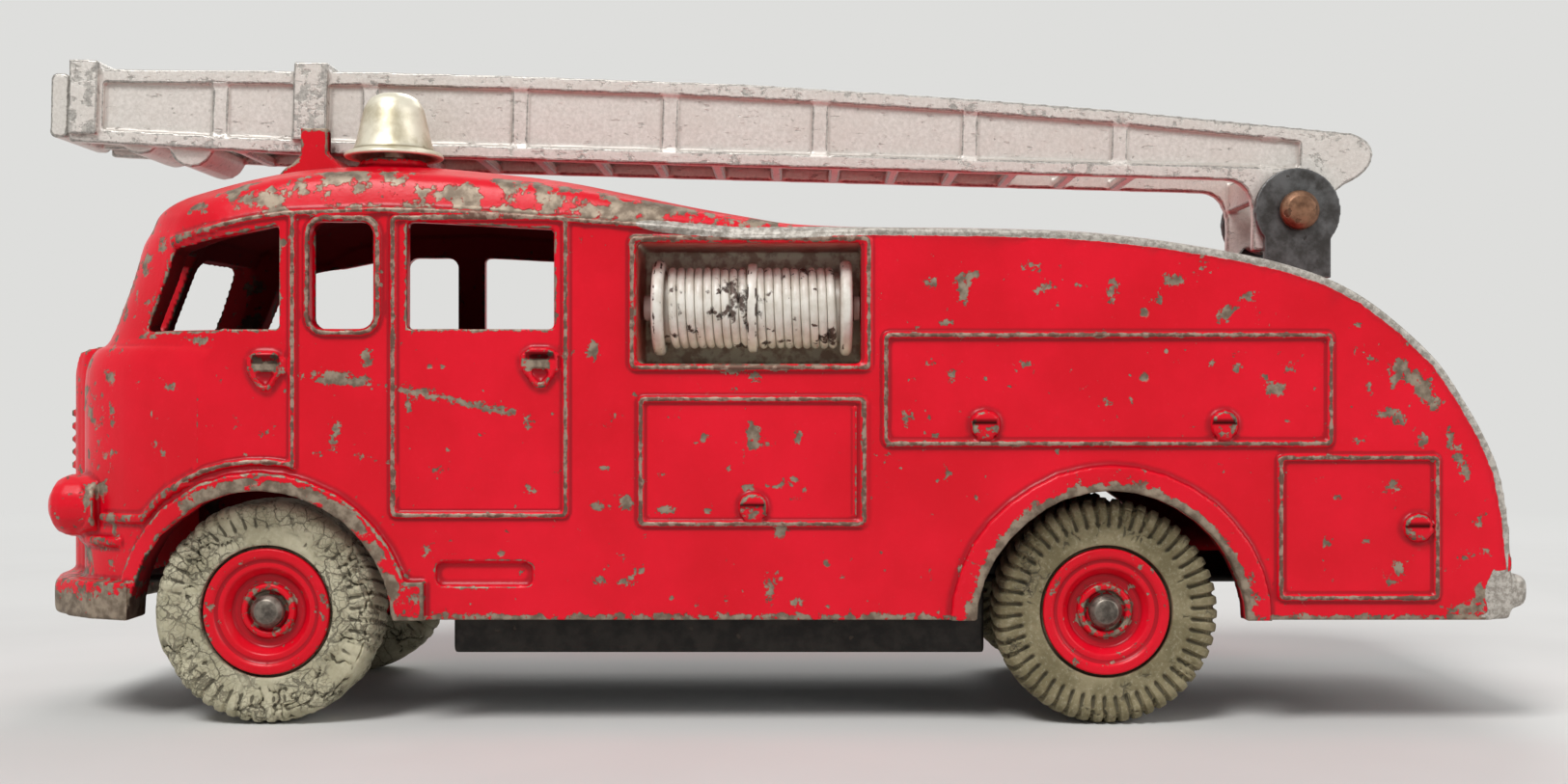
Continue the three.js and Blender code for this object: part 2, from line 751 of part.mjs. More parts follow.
function roofHoles() {
  const bellHole = rodAlongZ(bellSpigotRadius + fitGap, bellX, bellY, bellSeatZ - bellSpigotLength - fitGap,
    bellSeatZ + cutOverrun, axleSides);
  const rivetHole = rodAlongZ(rivetShankRadius + fitGap, pivotX, 0, sillZ, bracketSeatZ + cutOverrun,
    axleSides);
  return together([bellHole, rivetHole, bracketSeatCut()]);
}

// Baseplate: a thin pressed plate with a sunken pan between the wheels and lugs that carry the axles
const plateThickness = 0.7;
const plateZ = 12.6;
const platePanZ = 6.4;
const panFrontSetback = 17.1;
const panRearSetback = 11.2;
const panInset = 4;
const plateFrontInset = 5;
const plateRearInset = 3.2;
const plateTyreGap = 1.2;
const plateWideInset = 3;
const plateWideFrontX = 46.5;
const lugHalfLength = 2.9;
const lugThickness = 0.9;
const lugBelowAxle = 2.4;
const frontPostX = -14.5;
const rearPostInset = 8.2;
const postRadius = 2.2;
const plateRivetHeadRadius = 1.8;
const plateRivetHeadHeight = 0.5;
const plateRivetLength = 4;
const panFrontX = frontAxleX + panFrontSetback;
const panRearX = rearAxleX - panRearSetback;
const panHalfWidth = bodyHalfWidth - panInset;
const plateFrontX = frontX + plateFrontInset;
const plateRearX = rearX - plateRearInset;
const plateNarrowHalfWidth = wheelCentreY - tyreHalfWidth - plateTyreGap;
const plateWideHalfWidth = bodyHalfWidth - plateWideInset;
const rearPostX = rearX - rearPostInset;

function postsInBody() {
  const frontPostLowZ = platePanZ + plateThickness + fitGap;
  const rearPostLowZ = plateZ + plateThickness + fitGap;
  return together([
    rodAlongZ(postRadius, frontPostX, 0, frontPostLowZ, roofTopZ, axleSides),
    rodAlongZ(postRadius, rearPostX, 0, rearPostLowZ, roofTopZ, axleSides),
  ]);
}

function postHoles() {
  const frontPostLowZ = platePanZ + plateThickness + fitGap;
  const rearPostLowZ = plateZ + plateThickness + fitGap;
  const radius = rivetShankRadius + fitGap;
  const depth = plateRivetLength + fitGap;
  return together([
    rodAlongZ(radius, frontPostX, 0, frontPostLowZ - cutOverrun, frontPostLowZ + depth, axleSides),
    rodAlongZ(radius, rearPostX, 0, rearPostLowZ - cutOverrun, rearPostLowZ + depth, axleSides),
  ]);
}

function baseplate() {
  const plate = box(plateFrontX, plateRearX, -plateNarrowHalfWidth, plateNarrowHalfWidth,
    plateZ, plateZ + plateThickness);
  const rearWings = box(plateWideFrontX, plateRearX, -plateWideHalfWidth, plateWideHalfWidth,
    plateZ, plateZ + plateThickness);
  const pan = box(panFrontX, panRearX, -panHalfWidth, panHalfWidth, platePanZ, plateZ + plateThickness);
  const panHollow = box(panFrontX + plateThickness, panRearX - plateThickness,
    -panHalfWidth + plateThickness, panHalfWidth - plateThickness,
    platePanZ + plateThickness, plateZ + plateThickness + cutOverrun);
  const lugs = [];
  for (const axleX of [frontAxleX, rearAxleX]) {
    for (const side of sides) {
      const outerY = side * plateNarrowHalfWidth;
      const innerY = side * (plateNarrowHalfWidth - lugThickness);
      lugs.push(box(axleX - lugHalfLength, axleX + lugHalfLength, Math.min(outerY, innerY),
        Math.max(outerY, innerY), tyreRadius - lugBelowAxle, plateZ + plateThickness));
    }
  }
  const holes = [];
  for (const axleX of [frontAxleX, rearAxleX]) {
    holes.push(rodAlongY(axleRadius + fitGap, axleX, tyreRadius, -flankReach, flankReach, axleSides));
  }
  for (const postX of [frontPostX, rearPostX]) {
    holes.push(rodAlongZ(rivetShankRadius + fitGap, postX, 0, 0, plateZ + cutOverrun, axleSides));
  }
  return together([plate, rearWings, pan]).subtract(panHollow).add(together(lugs)).subtract(together(holes));
}

function plateRivet(x, faceZ) {
  const headTopZ = faceZ - fitGap;
  const head = rodAlongZ(plateRivetHeadRadius, x, 0, headTopZ - plateRivetHeadHeight, headTopZ, axleSides);
  const shankTopZ = faceZ + plateThickness + plateRivetLength;
  const shank = rodAlongZ(rivetShankRadius, x, 0, headTopZ - plateRivetHeadHeight / 2, shankTopZ, axleSides);
  return head.add(shank);
}

// Body casting
function reelPockets(grow, nearY) {
  return together(sides.map((side) => {
    const backY = side * (reelPocketBackY - grow);
    const mouthY = side * nearY;
    return box(reelPocketFrontX - grow, reelPocketRearX + grow, Math.min(backY, mouthY),
      Math.max(backY, mouthY), reelPocketLowZ - grow, reelPocketTopZ + grow);
  }));
}

function bodyCasting() {
  const outer = bodyForm(0, 0, 0, sillZ);
  const inner = bodyForm(wallThickness, wallThickness, wallThickness, sillZ - cutOverrun, true);
  const dressed = together([outer, flankBeads(), handlesOnFlanks(), archFlares(), knobsOnFlanks(),
    grilleBulge(), headLamps(), bumpers(), roofFurniture()]);
  const pocketWall = wallThickness / 2;
  const inside = reelPockets(pocketWall, bodyHalfWidth - pocketWall).add(postsInBody()).intersect(
    bodyForm(pocketWall, pocketWall, pocketWall, sillZ - bodyHeight / 2, true));
  const shell = dressed.subtract(inner).add(inside);
  const cuts = together([windowCuts(), archCuts(), stepCuts(), reelPockets(0, flankReach), roofHoles(),
    postHoles()]);
  return shell.subtract(cuts);
}

// Wheels
function hubGeometry(side) {
  const face = hubHalfWidth;
  const bore = axleRadius + fitGap;
  const headRecess = axleHeadRadius + fitGap;
  const profile = [
    [bore, -face],
    [rimRadius, -face],
    [rimRadius, face - rimLipWidth],
    [rimLipRadius, face - rimLipWidth],
    [rimLipRadius, face],
    [dishOuterRadius, face],
    [dishInnerRadius, face - dishDepth],
    [bossRadius, face - dishDepth],
    [bossRadius, face - dishDepth + bossTop],
    [headRecess, face - dishDepth + bossTop],
    [headRecess, face - dishDepth],
    [bore, face - dishDepth],
    [bore, -face],
  ];
  return facing(turnedAlongY(profile, wheelSides), side);
}

function tyreGeometry(side) {
  const seat = rimRadius + fitGap;
  const face = tyreHalfWidth;
  const lipSeat = rimLipRadius + fitGap;
  const lipFloor = hubHalfWidth - rimLipWidth - fitGap;
  const wallMiddle = (tyreShoulderRadius + lipSeat) / 2;
  const profile = [
    [seat, -hubHalfWidth],
    [wallMiddle, -face + tyreWallDip],
    [tyreShoulderRadius, -face],
    [tyreRadius, -tyreTreadHalfWidth],
    [tyreRadius, tyreTreadHalfWidth],
    [tyreShoulderRadius, face],
    [wallMiddle, face - tyreWallDip],
    [lipSeat, hubHalfWidth],
    [lipSeat, lipFloor],
    [seat, lipFloor],
    [seat, -hubHalfWidth],
  ];
  return facing(turnedAlongY(profile, wheelSides), side);
}

function facing(geometry, side) {
  if (side < 0) {
    geometry.rotateZ(Math.PI);
  }
  return geometry;
}

function axleGeometry() {
  const headInnerY = wheelCentreY + hubHalfWidth - dishDepth + fitGap;
  const edgeY = headInnerY + axleHeadEdge;
  const half = [
    [axleRadius, headInnerY],
    [axleHeadRadius, headInnerY],
    [axleHeadRadius, edgeY],
    [axleHeadRadius * Math.cos(quarterTurn / 2), edgeY + axleHeadDome * Math.sin(quarterTurn / 2)],
    [0, edgeY + axleHeadDome],
  ];
  const mirrored = half.map(([radius, along]) => [radius, -along]).reverse();
  return turnedAlongY([...mirrored, ...half], axleSides);
}

// Bell
const bellRimRadius = 4.75;
const bellHeight = 6.4;
const bellRimZ = bellSeatZ + fitGap;
const bellWall = 0.8;
const bellShares = [
  [1, 0],
  [0.96, 0.07],
  [0.8, 0.12],
  [0.74, 0.27],
  [0.67, 0.52],
  [0.57, 0.77],
  [0.4, 0.93],
  [0.2, 1],
];

function bellGeometry() {
  const outside = bellShares.map(([radiusShare, heightShare]) => [
    bellRimRadius * radiusShare,
    bellHeight * heightShare,
  ]);
  const hollowTop = bellHeight / 2;
  const profile = [
    [0, -bellSpigotLength],
    [bellSpigotRadius, -bellSpigotLength],
    [bellSpigotRadius, hollowTop],
    [bellRimRadius * bellShares[4][0] - bellWall, hollowTop],
    [bellRimRadius - bellWall, 0],
    ...outside,
    [0, bellHeight],
  ];
  const geometry = turnedAlongY(profile, seatSides);
  geometry.rotateX(quarterTurn);
  return geometry;
}

// Hose reels: a drum with end flanges, an unbroken hose wound on it and a strap round the middle
const reelInsetY = 4.8;
const reelCentreZ = 39;
const reelFrontX = -9.8;
const reelRearX = 8.9;
const flangeThickness = 1.1;
const flangeRadius = 4.5;
const drumRadius = 3.1;
const stubRadius = 1.2;
const hoseRadius = 0.19;
const hoseCoilRadius = drumRadius + fitGap + hoseRadius;
const hoseLoops = 19;
const hoseSteps = 9;
const hoseFacets = 4;
const strapWidth = 0.8;
const strapThickness = 0.4;
const reelSides = 18;
const reelCentreY = bodyHalfWidth - reelInsetY;

function reelGeometry() {
  const profile = [
    [0, reelPocketFrontX + fitGap],
    [stubRadius, reelPocketFrontX + fitGap],
    [stubRadius, reelFrontX],
    [flangeRadius, reelFrontX],
    [flangeRadius, reelFrontX + flangeThickness],
    [drumRadius, reelFrontX + flangeThickness],
    [drumRadius, reelRearX - flangeThickness],
    [flangeRadius, reelRearX - flangeThickness],
    [flangeRadius, reelRearX],
    [stubRadius, reelRearX],
    [stubRadius, reelPocketRearX - fitGap],
    [0, reelPocketRearX - fitGap],
  ];
  const geometry = turnedAlongY(profile, reelSides);
  geometry.rotateZ(-quarterTurn);
  return geometry;
}

function strapGeometry() {
  const innerRadius = hoseCoilRadius + hoseRadius + fitGap;
  const middleX = (reelFrontX + reelRearX) / 2;
  const profile = [
    [innerRadius, middleX - strapWidth / 2],
    [innerRadius + strapThickness, middleX - strapWidth / 2],
    [innerRadius + strapThickness, middleX + strapWidth / 2],
    [innerRadius, middleX + strapWidth / 2],
    [innerRadius, middleX - strapWidth / 2],
  ];
  const geometry = turnedAlongY(profile, reelSides);
  geometry.rotateZ(-quarterTurn);
  return geometry;
}

function hoseLine() {
  const startX = reelFrontX + flangeThickness + fitGap + hoseRadius;
  const endX = reelRearX - flangeThickness - fitGap - hoseRadius;
  const points = [];
  for (let step = 0; step <= hoseLoops * hoseSteps; step += 1) {
    const angle = fullTurn * step / hoseSteps;
    points.push(new THREE.Vector3(startX + (endX - startX) * step / (hoseLoops * hoseSteps),
      hoseCoilRadius * Math.cos(angle), hoseCoilRadius * Math.sin(angle)));
  }
  return points;
}

function hoseGeometry() {
  const line = hoseLine();
  const positions = [];
  const corners = [];
  line.forEach((point) => {
    const outward = new THREE.Vector3(0, point.y, point.z).normalize();
    const alongReel = new THREE.Vector3(1, 0, 0);
    for (let facet = 0; facet < hoseFacets; facet += 1) {
      const angle = fullTurn * facet / hoseFacets;
      const rim = point.clone()
        .addScaledVector(outward, hoseRadius * Math.cos(angle))
        .addScaledVector(alongReel, hoseRadius * Math.sin(angle));
      positions.push(rim.x, rim.y, rim.z);
    }
  });
  for (let ring = 0; ring < line.length - 1; ring += 1) {
    for (let facet = 0; facet < hoseFacets; facet += 1) {
      const next = (facet + 1) % hoseFacets;
      const a = ring * hoseFacets + facet;
      const b = ring * hoseFacets + next;
      const c = (ring + 1) * hoseFacets + next;
      const d = (ring + 1) * hoseFacets + facet;
      corners.push(a, c, b, a, d, c);
    }
  }
  const lastRing = (line.length - 1) * hoseFacets;
  for (let facet = 1; facet < hoseFacets - 1; facet += 1) {
    corners.push(0, facet, facet + 1);
    corners.push(lastRing, lastRing + facet + 1, lastRing + facet);
  }
  const geometry = new THREE.BufferGeometry();
  geometry.setAttribute('position', new THREE.BufferAttribute(new Float32Array(positions), 3));
  geometry.setIndex(corners);
  return geometry;
}

function leastHoseGap() {
  const line = hoseLine();
  let least = Infinity;
  for (let first = 0; first < line.length; first += 1) {
    for (let second = first + Math.ceil(hoseSteps / 2); second < line.length; second += 1) {
      least = Math.min(least, line[first].distanceTo(line[second]));
    }
  }
  return least - 2 * hoseRadius;
}

// Ladder, in its own frame: origin at the pivot, x along the ladder to the rear, z up from it
const railFrontX = -123.3;
const railTopMaxZ = 11.5;
const railBottomFrontZ = 3.7;
const railBottomZ = 3.1;
const railRearTopX = 5.5;
const railRearTopZ = 8.1;
const tailX = 7.7;
const tailZ = 6;
const tailTopZ = 7.5;
const tailNeckX = 4.9;
const tailNeckZ = 2.9;
const tailLowZ = 4.2;
const heelX = -4.1;
const heelWidth = 1.1;
const heelZ = -4;
const heelRootX = -7;
const lobeRadius = 3.3;
const flangeHeight = 1.35;
const panelDepth = 0.5;
const panelSetback = 3.3;
const panelRearX = 0.4;
const ribWidth = 1.6;
const ribPitch = 15.1;
const firstRibSetback = 15;
const rungPitch = 6;
const rungLength = 1.1;
const rungHeight = 0.9;
const frontStrapLength = 2.9;
const rearStrapSetback = 22.5;
const rearStrapLength = 3.4;
const guideProud = 0.5;
const guideTop = 0.8;
const guideLowZ = 4.4;
const toeRadius = 2.3;
const toeSetback = 6.8;
const toeSpacing = 5.2;
const toeLowZ = 2.7;
const toeDrop = 1.15;
const slideRailHeight = 6;
const slideRailThickness = 1.1;
const slideTipProud = 2.18;
const slideTipLowZ = 4.1;
const slideTipTopZ = 10.6;
const slideTipHalfWidth = 5.4;
const slideRearX = -28;
const panelFrontX = railFrontX + panelSetback;
const firstRibX = railFrontX + firstRibSetback;
const rearStrapX = railFrontX + rearStrapSetback;
const slideTipX = railFrontX - slideTipProud;
const slideFloorZ = railBottomZ + rungHeight + fitGap;

// Points of the rail's upper edge and lower edge, as shares of rail length and of rail height
const railLength = railRearTopX - railFrontX;
const railRise = railTopMaxZ - railBottomZ;
const railTopShares = [
  [0, 0.94],
  [0.23, 1],
  [0.345, 1],
  [0.533, 0.976],
  [0.7, 0.88],
  [0.81, 0.798],
  [1, 0.595],
];

function railTopLine() {
  return railTopShares.map(([lengthShare, heightShare]) => [
    railFrontX + railLength * lengthShare,
    railBottomZ + railRise * heightShare,
  ]);
}

function heightAt(line, x) {
  for (let index = 1; index < line.length; index += 1) {
    const [beforeX, beforeZ] = line[index - 1];
    const [afterX, afterZ] = line[index];
    if (x <= afterX) {
      return beforeZ + (afterZ - beforeZ) * (x - beforeX) / (afterX - beforeX);
    }
  }
  return line[line.length - 1][1];
}

function railBottomAt(x) {
  const slope = (railBottomFrontZ - railBottomZ) / (rearStrapX - railFrontX);
  return railBottomZ + Math.max(slope * (rearStrapX - x), 0);
}

function railOutline() {
  const topLine = railTopLine();
  const outline = new THREE.Shape();
  outline.moveTo(railFrontX, railBottomFrontZ);
  outline.lineTo(rearStrapX, railBottomZ);
  outline.lineTo(heelRootX, railBottomZ);
  outline.quadraticCurveTo(heelX, railBottomZ, heelX, heelZ / 4);
  outline.lineTo(heelX, heelZ);
  outline.lineTo(heelX + heelWidth, heelZ);
  outline.lineTo(heelX + 2 * heelWidth, -lobeRadius * Math.sin(quarterTurn / 2));
  outline.absarc(0, 0, lobeRadius, -quarterTurn * 3 / 2, 0, false);
  outline.lineTo(lobeRadius, railBottomZ / 2);
  outline.lineTo(tailNeckX, tailNeckZ);
  outline.quadraticCurveTo(tailX, tailLowZ, tailX, tailZ);
  outline.quadraticCurveTo(tailX, tailTopZ, railRearTopX, railRearTopZ);
  [...topLine].reverse().slice(1).forEach(([x, z]) => outline.lineTo(x, z));
  outline.closePath();
  return outline;
}

function railPanels() {
  const topLine = railTopLine();
  const bays = [];
  let startX = panelFrontX;
  for (let ribX = firstRibX; startX < panelRearX; ribX += ribPitch) {
    const endX = Math.min(ribX - ribWidth / 2, panelRearX);
    bays.push(shapeThrough([
      [startX, railBottomAt(startX) + flangeHeight],
      [endX, railBottomAt(endX) + flangeHeight],
      [endX, heightAt(topLine, endX) - flangeHeight],
      [startX, heightAt(topLine, startX) - flangeHeight],
    ]));
    startX = ribX + ribWidth / 2;
  }
  const cuts = [];
  for (const side of sides) {
    const floorY = side * (railOuterY - panelDepth);
    const outerY = side * (railOuterY + cutOverrun);
    bays.forEach((bay) => cuts.push(prismAlongY(bay, Math.min(floorY, outerY), Math.max(floorY, outerY))));
  }
  return together(cuts);
}

// A guide strap wraps both rails and bridges them above the sliding section
function guideStrap(startX, length) {
  const topLine = railTopLine();
  const topZ = Math.max(heightAt(topLine, startX), heightAt(topLine, startX + length));
  const outerY = railOuterY + guideProud;
  const bridge = box(startX, startX + length, -outerY, outerY, topZ - guideTop / 2, topZ + guideTop);
  const cheeks = sides.map((side) => {
    const nearY = side * outerY;
    const rootY = side * railInnerY;
    return box(startX, startX + length, Math.min(nearY, rootY), Math.max(nearY, rootY), guideLowZ, topZ);
  });
  return together([bridge, ...cheeks]);
}

function mainSection() {
  const outline = railOutline();
  const rails = sides.map((side) => {
    const outerY = side * railOuterY;
    const innerY = side * railInnerY;
    return prismAlongY(outline, Math.min(outerY, innerY), Math.max(outerY, innerY));
  });
  const rungRootY = railInnerY + railThickness / 3;
  const rungs = [];
  for (let x = rearStrapX - 2 * rungPitch; x < heelRootX - rungPitch; x += rungPitch) {
    rungs.push(box(x, x + rungLength, -rungRootY, rungRootY, railBottomZ, railBottomZ + rungHeight));
  }
  const heelWeb = box(heelX, heelX + heelWidth, -rungRootY, rungRootY, lobeRadius / 3,
    railBottomZ + rungHeight);
  const toes = [0, 1].map((index) => rodAlongY(toeRadius, railFrontX + toeSetback + index * toeSpacing,
    toeLowZ + toeRadius - index * toeDrop, -rungRootY, rungRootY, axleSides));
  const toeTrim = box(railFrontX, rearStrapX, -railOuterY, railOuterY, railBottomZ - toeRadius,
    railBottomZ + rungHeight);
  const pinHole = rodAlongY(pinRadius + fitGap, 0, 0, -earOuterY, earOuterY, axleSides);
  return together([...rails, ...rungs, heelWeb, together(toes).intersect(toeTrim)])
    .subtract(railPanels())
    .add(guideStrap(railFrontX, frontStrapLength))
    .add(guideStrap(rearStrapX, rearStrapLength))
    .subtract(pinHole);
}

function slidingSection() {
  const outerY = railInnerY - fitGap;
  const innerY = outerY - slideRailThickness;
  const tipRearX = railFrontX - fitGap;
  const rails = sides.map((side) => box(tipRearX - fitGap, slideRearX, Math.min(side * outerY, side * innerY),
    Math.max(side * outerY, side * innerY), slideFloorZ, slideFloorZ + slideRailHeight));
  const tip = roundedOutline(new THREE.Shape(), slideTipX, tipRearX, slideTipLowZ, slideTipTopZ,
    (tipRearX - slideTipX) / 3);
  const head = prismAlongY(tip, -slideTipHalfWidth, slideTipHalfWidth, smallCornerFacets);
  const rungs = [];
  for (let x = tipRearX + rungPitch / 2; x < slideRearX - rungLength; x += rungPitch) {
    rungs.push(box(x, x + rungLength, -outerY + slideRailThickness / 2, outerY - slideRailThickness / 2,
      slideFloorZ + rungHeight, slideFloorZ + 2 * rungHeight));
  }
  return together([...rails, head, ...rungs]);
}

// Pivot pin with domed heads outside the bracket's ears
const pinHeadRadius = 2;
const pinHeadEdge = 0.4;
const pinHeadDome = 1;

function pinGeometry() {
  const headY = earOuterY + fitGap;
  const domeY = headY + pinHeadEdge;
  const half = [
    [pinRadius, headY],
    [pinHeadRadius, headY],
    [pinHeadRadius, domeY],
    [pinHeadRadius * Math.cos(quarterTurn / 2), domeY + pinHeadDome * Math.sin(quarterTurn / 2)],
    [0, domeY + pinHeadDome],
  ];
  const mirrored = half.map(([radius, along]) => [radius, -along]).reverse();
  return turnedAlongY([...mirrored, ...half], axleSides);
}

// Folded bracket and the rivet that holds it to the deck
const earRadius = 4.3;
const bracketRivetHeadRadius = 1.8;
const bracketRivetHeadHeight = 0.35;
const bracketRivetLowerZ = 37.2;
const bracketBaseZ = bracketSeatZ + fitGap;

function bracket() {
  const ear = new THREE.Shape();
  const rise = Math.acos(stemHalfWidth / earRadius);
  ear.moveTo(pivotX - stemHalfWidth, bracketBaseZ);
  ear.lineTo(pivotX + stemHalfWidth, bracketBaseZ);
  ear.absarc(pivotX, pivotZ, earRadius, -rise, Math.PI + rise, false);
  ear.closePath();
  const ears = sides.map((side) => {
    const outerY = side * earOuterY;
    const innerY = side * earInnerY;
    return prismAlongY(ear, Math.min(outerY, innerY), Math.max(outerY, innerY), earFacets);
  });
  const base = box(pivotX - stemHalfWidth, pivotX + stemHalfWidth, -earOuterY, earOuterY, bracketBaseZ,
    bracketBaseZ + earThickness);
  const pinHole = rodAlongY(pinRadius + fitGap, pivotX, pivotZ, -flankReach, flankReach, axleSides);
  const rivetHole = rodAlongZ(rivetShankRadius + fitGap, pivotX, 0, sillZ, bracketBaseZ + earRadius / 2,
    axleSides);
  return together([base, ...ears]).subtract(pinHole).subtract(rivetHole);
}

function bracketRivet() {
  const headLowZ = bracketBaseZ + earThickness + fitGap / 3;
  const head = rodAlongZ(bracketRivetHeadRadius, pivotX, 0, headLowZ, headLowZ + bracketRivetHeadHeight,
    axleSides);
  const shank = rodAlongZ(rivetShankRadius, pivotX, 0, bracketRivetLowerZ,
    headLowZ + bracketRivetHeadHeight / 2, axleSides);
  const formedEnd = rodAlongZ(bracketRivetHeadRadius, pivotX, 0, bracketRivetLowerZ - bracketRivetHeadHeight,
    bracketRivetLowerZ + bracketRivetHeadHeight, axleSides);
  return together([head, shank, formedEnd]);
}

// Finishes
const redPaint = { color: 0xda102a, roughness: 0.38, metalness: 0.1 };
const silverPaint = { color: 0xc8bcb4, roughness: 0.45, metalness: 0.35 };
const reelPaint = { color: 0xd7d2c6, roughness: 0.5, metalness: 0.2 };
const darkTin = { color: 0x55585c, roughness: 0.45, metalness: 0.7 };
const steel = { color: 0x6e6a64, roughness: 0.4, metalness: 0.85 };
const bronze = { color: 0x6e503c, roughness: 0.42, metalness: 0.8 };
const gold = { color: 0xc8b98c, roughness: 0.35, metalness: 0.8 };
const oldRubber = { color: 0x969476, roughness: 0.92, metalness: 0 };

const engine = new THREE.Group();
engine.name = 'toy_fire_engine';

function place(name, geometry, finish, parent = engine) {
  geometry.computeVertexNormals();
  const mesh = new THREE.Mesh(geometry, new THREE.MeshStandardMaterial(finish));
  mesh.name = name;
  parent.add(mesh);
  return mesh;
}

// Body and baseplate
place('body_casting', geometryOf(bodyCasting()), redPaint);
place('baseplate', geometryOf(baseplate()), darkTin);
place('baseplate_rivet_front', geometryOf(plateRivet(frontPostX, platePanZ)), steel);
place('baseplate_rivet_rear', geometryOf(plateRivet(rearPostX, plateZ)), steel);

// Running gear
for (const [end, axleX] of [['front', frontAxleX], ['rear', rearAxleX]]) {
  place(`${end}_axle`, axleGeometry(), steel).position.set(axleX, 0, tyreRadius);
  for (const [name, side] of [['left', -1], ['right', 1]]) {
    const centreY = side * wheelCentreY;
    place(`wheel_hub_${end}_${name}`, hubGeometry(side), redPaint).position.set(axleX, centreY, tyreRadius);
    place(`tyre_${end}_${name}`, tyreGeometry(side), oldRubber).position.set(axleX, centreY, tyreRadius);
  }
}

// Bell
place('bell', bellGeometry(), gold).position.set(bellX, bellY, bellRimZ);

// Hose reels
for (const [name, side] of [['left', -1], ['right', 1]]) {
  const reelY = side * reelCentreY;
  place(`hose_reel_${name}`, reelGeometry(), reelPaint).position.set(0, reelY, reelCentreZ);
  place(`hose_winding_${name}`, hoseGeometry(), reelPaint).position.set(0, reelY, reelCentreZ);
  place(`hose_strap_${name}`, strapGeometry(), reelPaint).position.set(0, reelY, reelCentreZ);
}
console.log(`Least gap between hose loops: ${leastHoseGap().toFixed(3)} mm`);

// Ladder
const ladder = new THREE.Group();
ladder.name = 'ladder';
ladder.position.set(pivotX, 0, pivotZ);
ladder.rotation.y = ladderTilt;
engine.add(ladder);
place('ladder_main_section', geometryOf(mainSection()), silverPaint, ladder);
place('ladder_sliding_section', geometryOf(slidingSection()), silverPaint, ladder);
place('ladder_pivot_pin', pinGeometry(), bronze).position.set(pivotX, 0, pivotZ);
place('ladder_bracket', geometryOf(bracket()), darkTin);
place('bracket_rivet', geometryOf(bracketRivet()), steel);

export default engine;
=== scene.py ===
"""Looks of a worn die-cast toy fire engine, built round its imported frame. Lengths are in mm until placed."""
import math

import bmesh
import bpy
import numpy as np
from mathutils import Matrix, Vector, noise
from mathutils.bvhtree import BVHTree


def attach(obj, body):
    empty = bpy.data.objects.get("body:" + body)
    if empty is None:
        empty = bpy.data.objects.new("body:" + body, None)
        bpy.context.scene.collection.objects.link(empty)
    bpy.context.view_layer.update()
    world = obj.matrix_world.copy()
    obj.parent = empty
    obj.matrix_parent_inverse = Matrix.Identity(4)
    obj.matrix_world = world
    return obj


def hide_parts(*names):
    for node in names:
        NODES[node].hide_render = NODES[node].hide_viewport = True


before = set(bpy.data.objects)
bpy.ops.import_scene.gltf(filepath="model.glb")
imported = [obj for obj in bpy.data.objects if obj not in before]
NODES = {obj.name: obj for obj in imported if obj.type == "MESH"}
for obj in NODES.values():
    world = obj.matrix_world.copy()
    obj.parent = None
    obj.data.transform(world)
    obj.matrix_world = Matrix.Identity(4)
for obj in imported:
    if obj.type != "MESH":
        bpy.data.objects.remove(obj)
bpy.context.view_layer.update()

MM = 0.001
FULL_TURN = 2 * math.pi
SIDES = (("left", -1), ("right", 1))
ENDS = ("front", "rear")


# Finishes

def shade(red, green, blue):
    """A colour as seen on screen, each part from 0 to 255, as the linear value that a shader takes."""
    levels = [part / 255 for part in (red, green, blue)]
    return (*[s / 12.92 if s <= 0.04045 else ((s + 0.055) / 1.055) ** 2.4 for s in levels], 1.0)


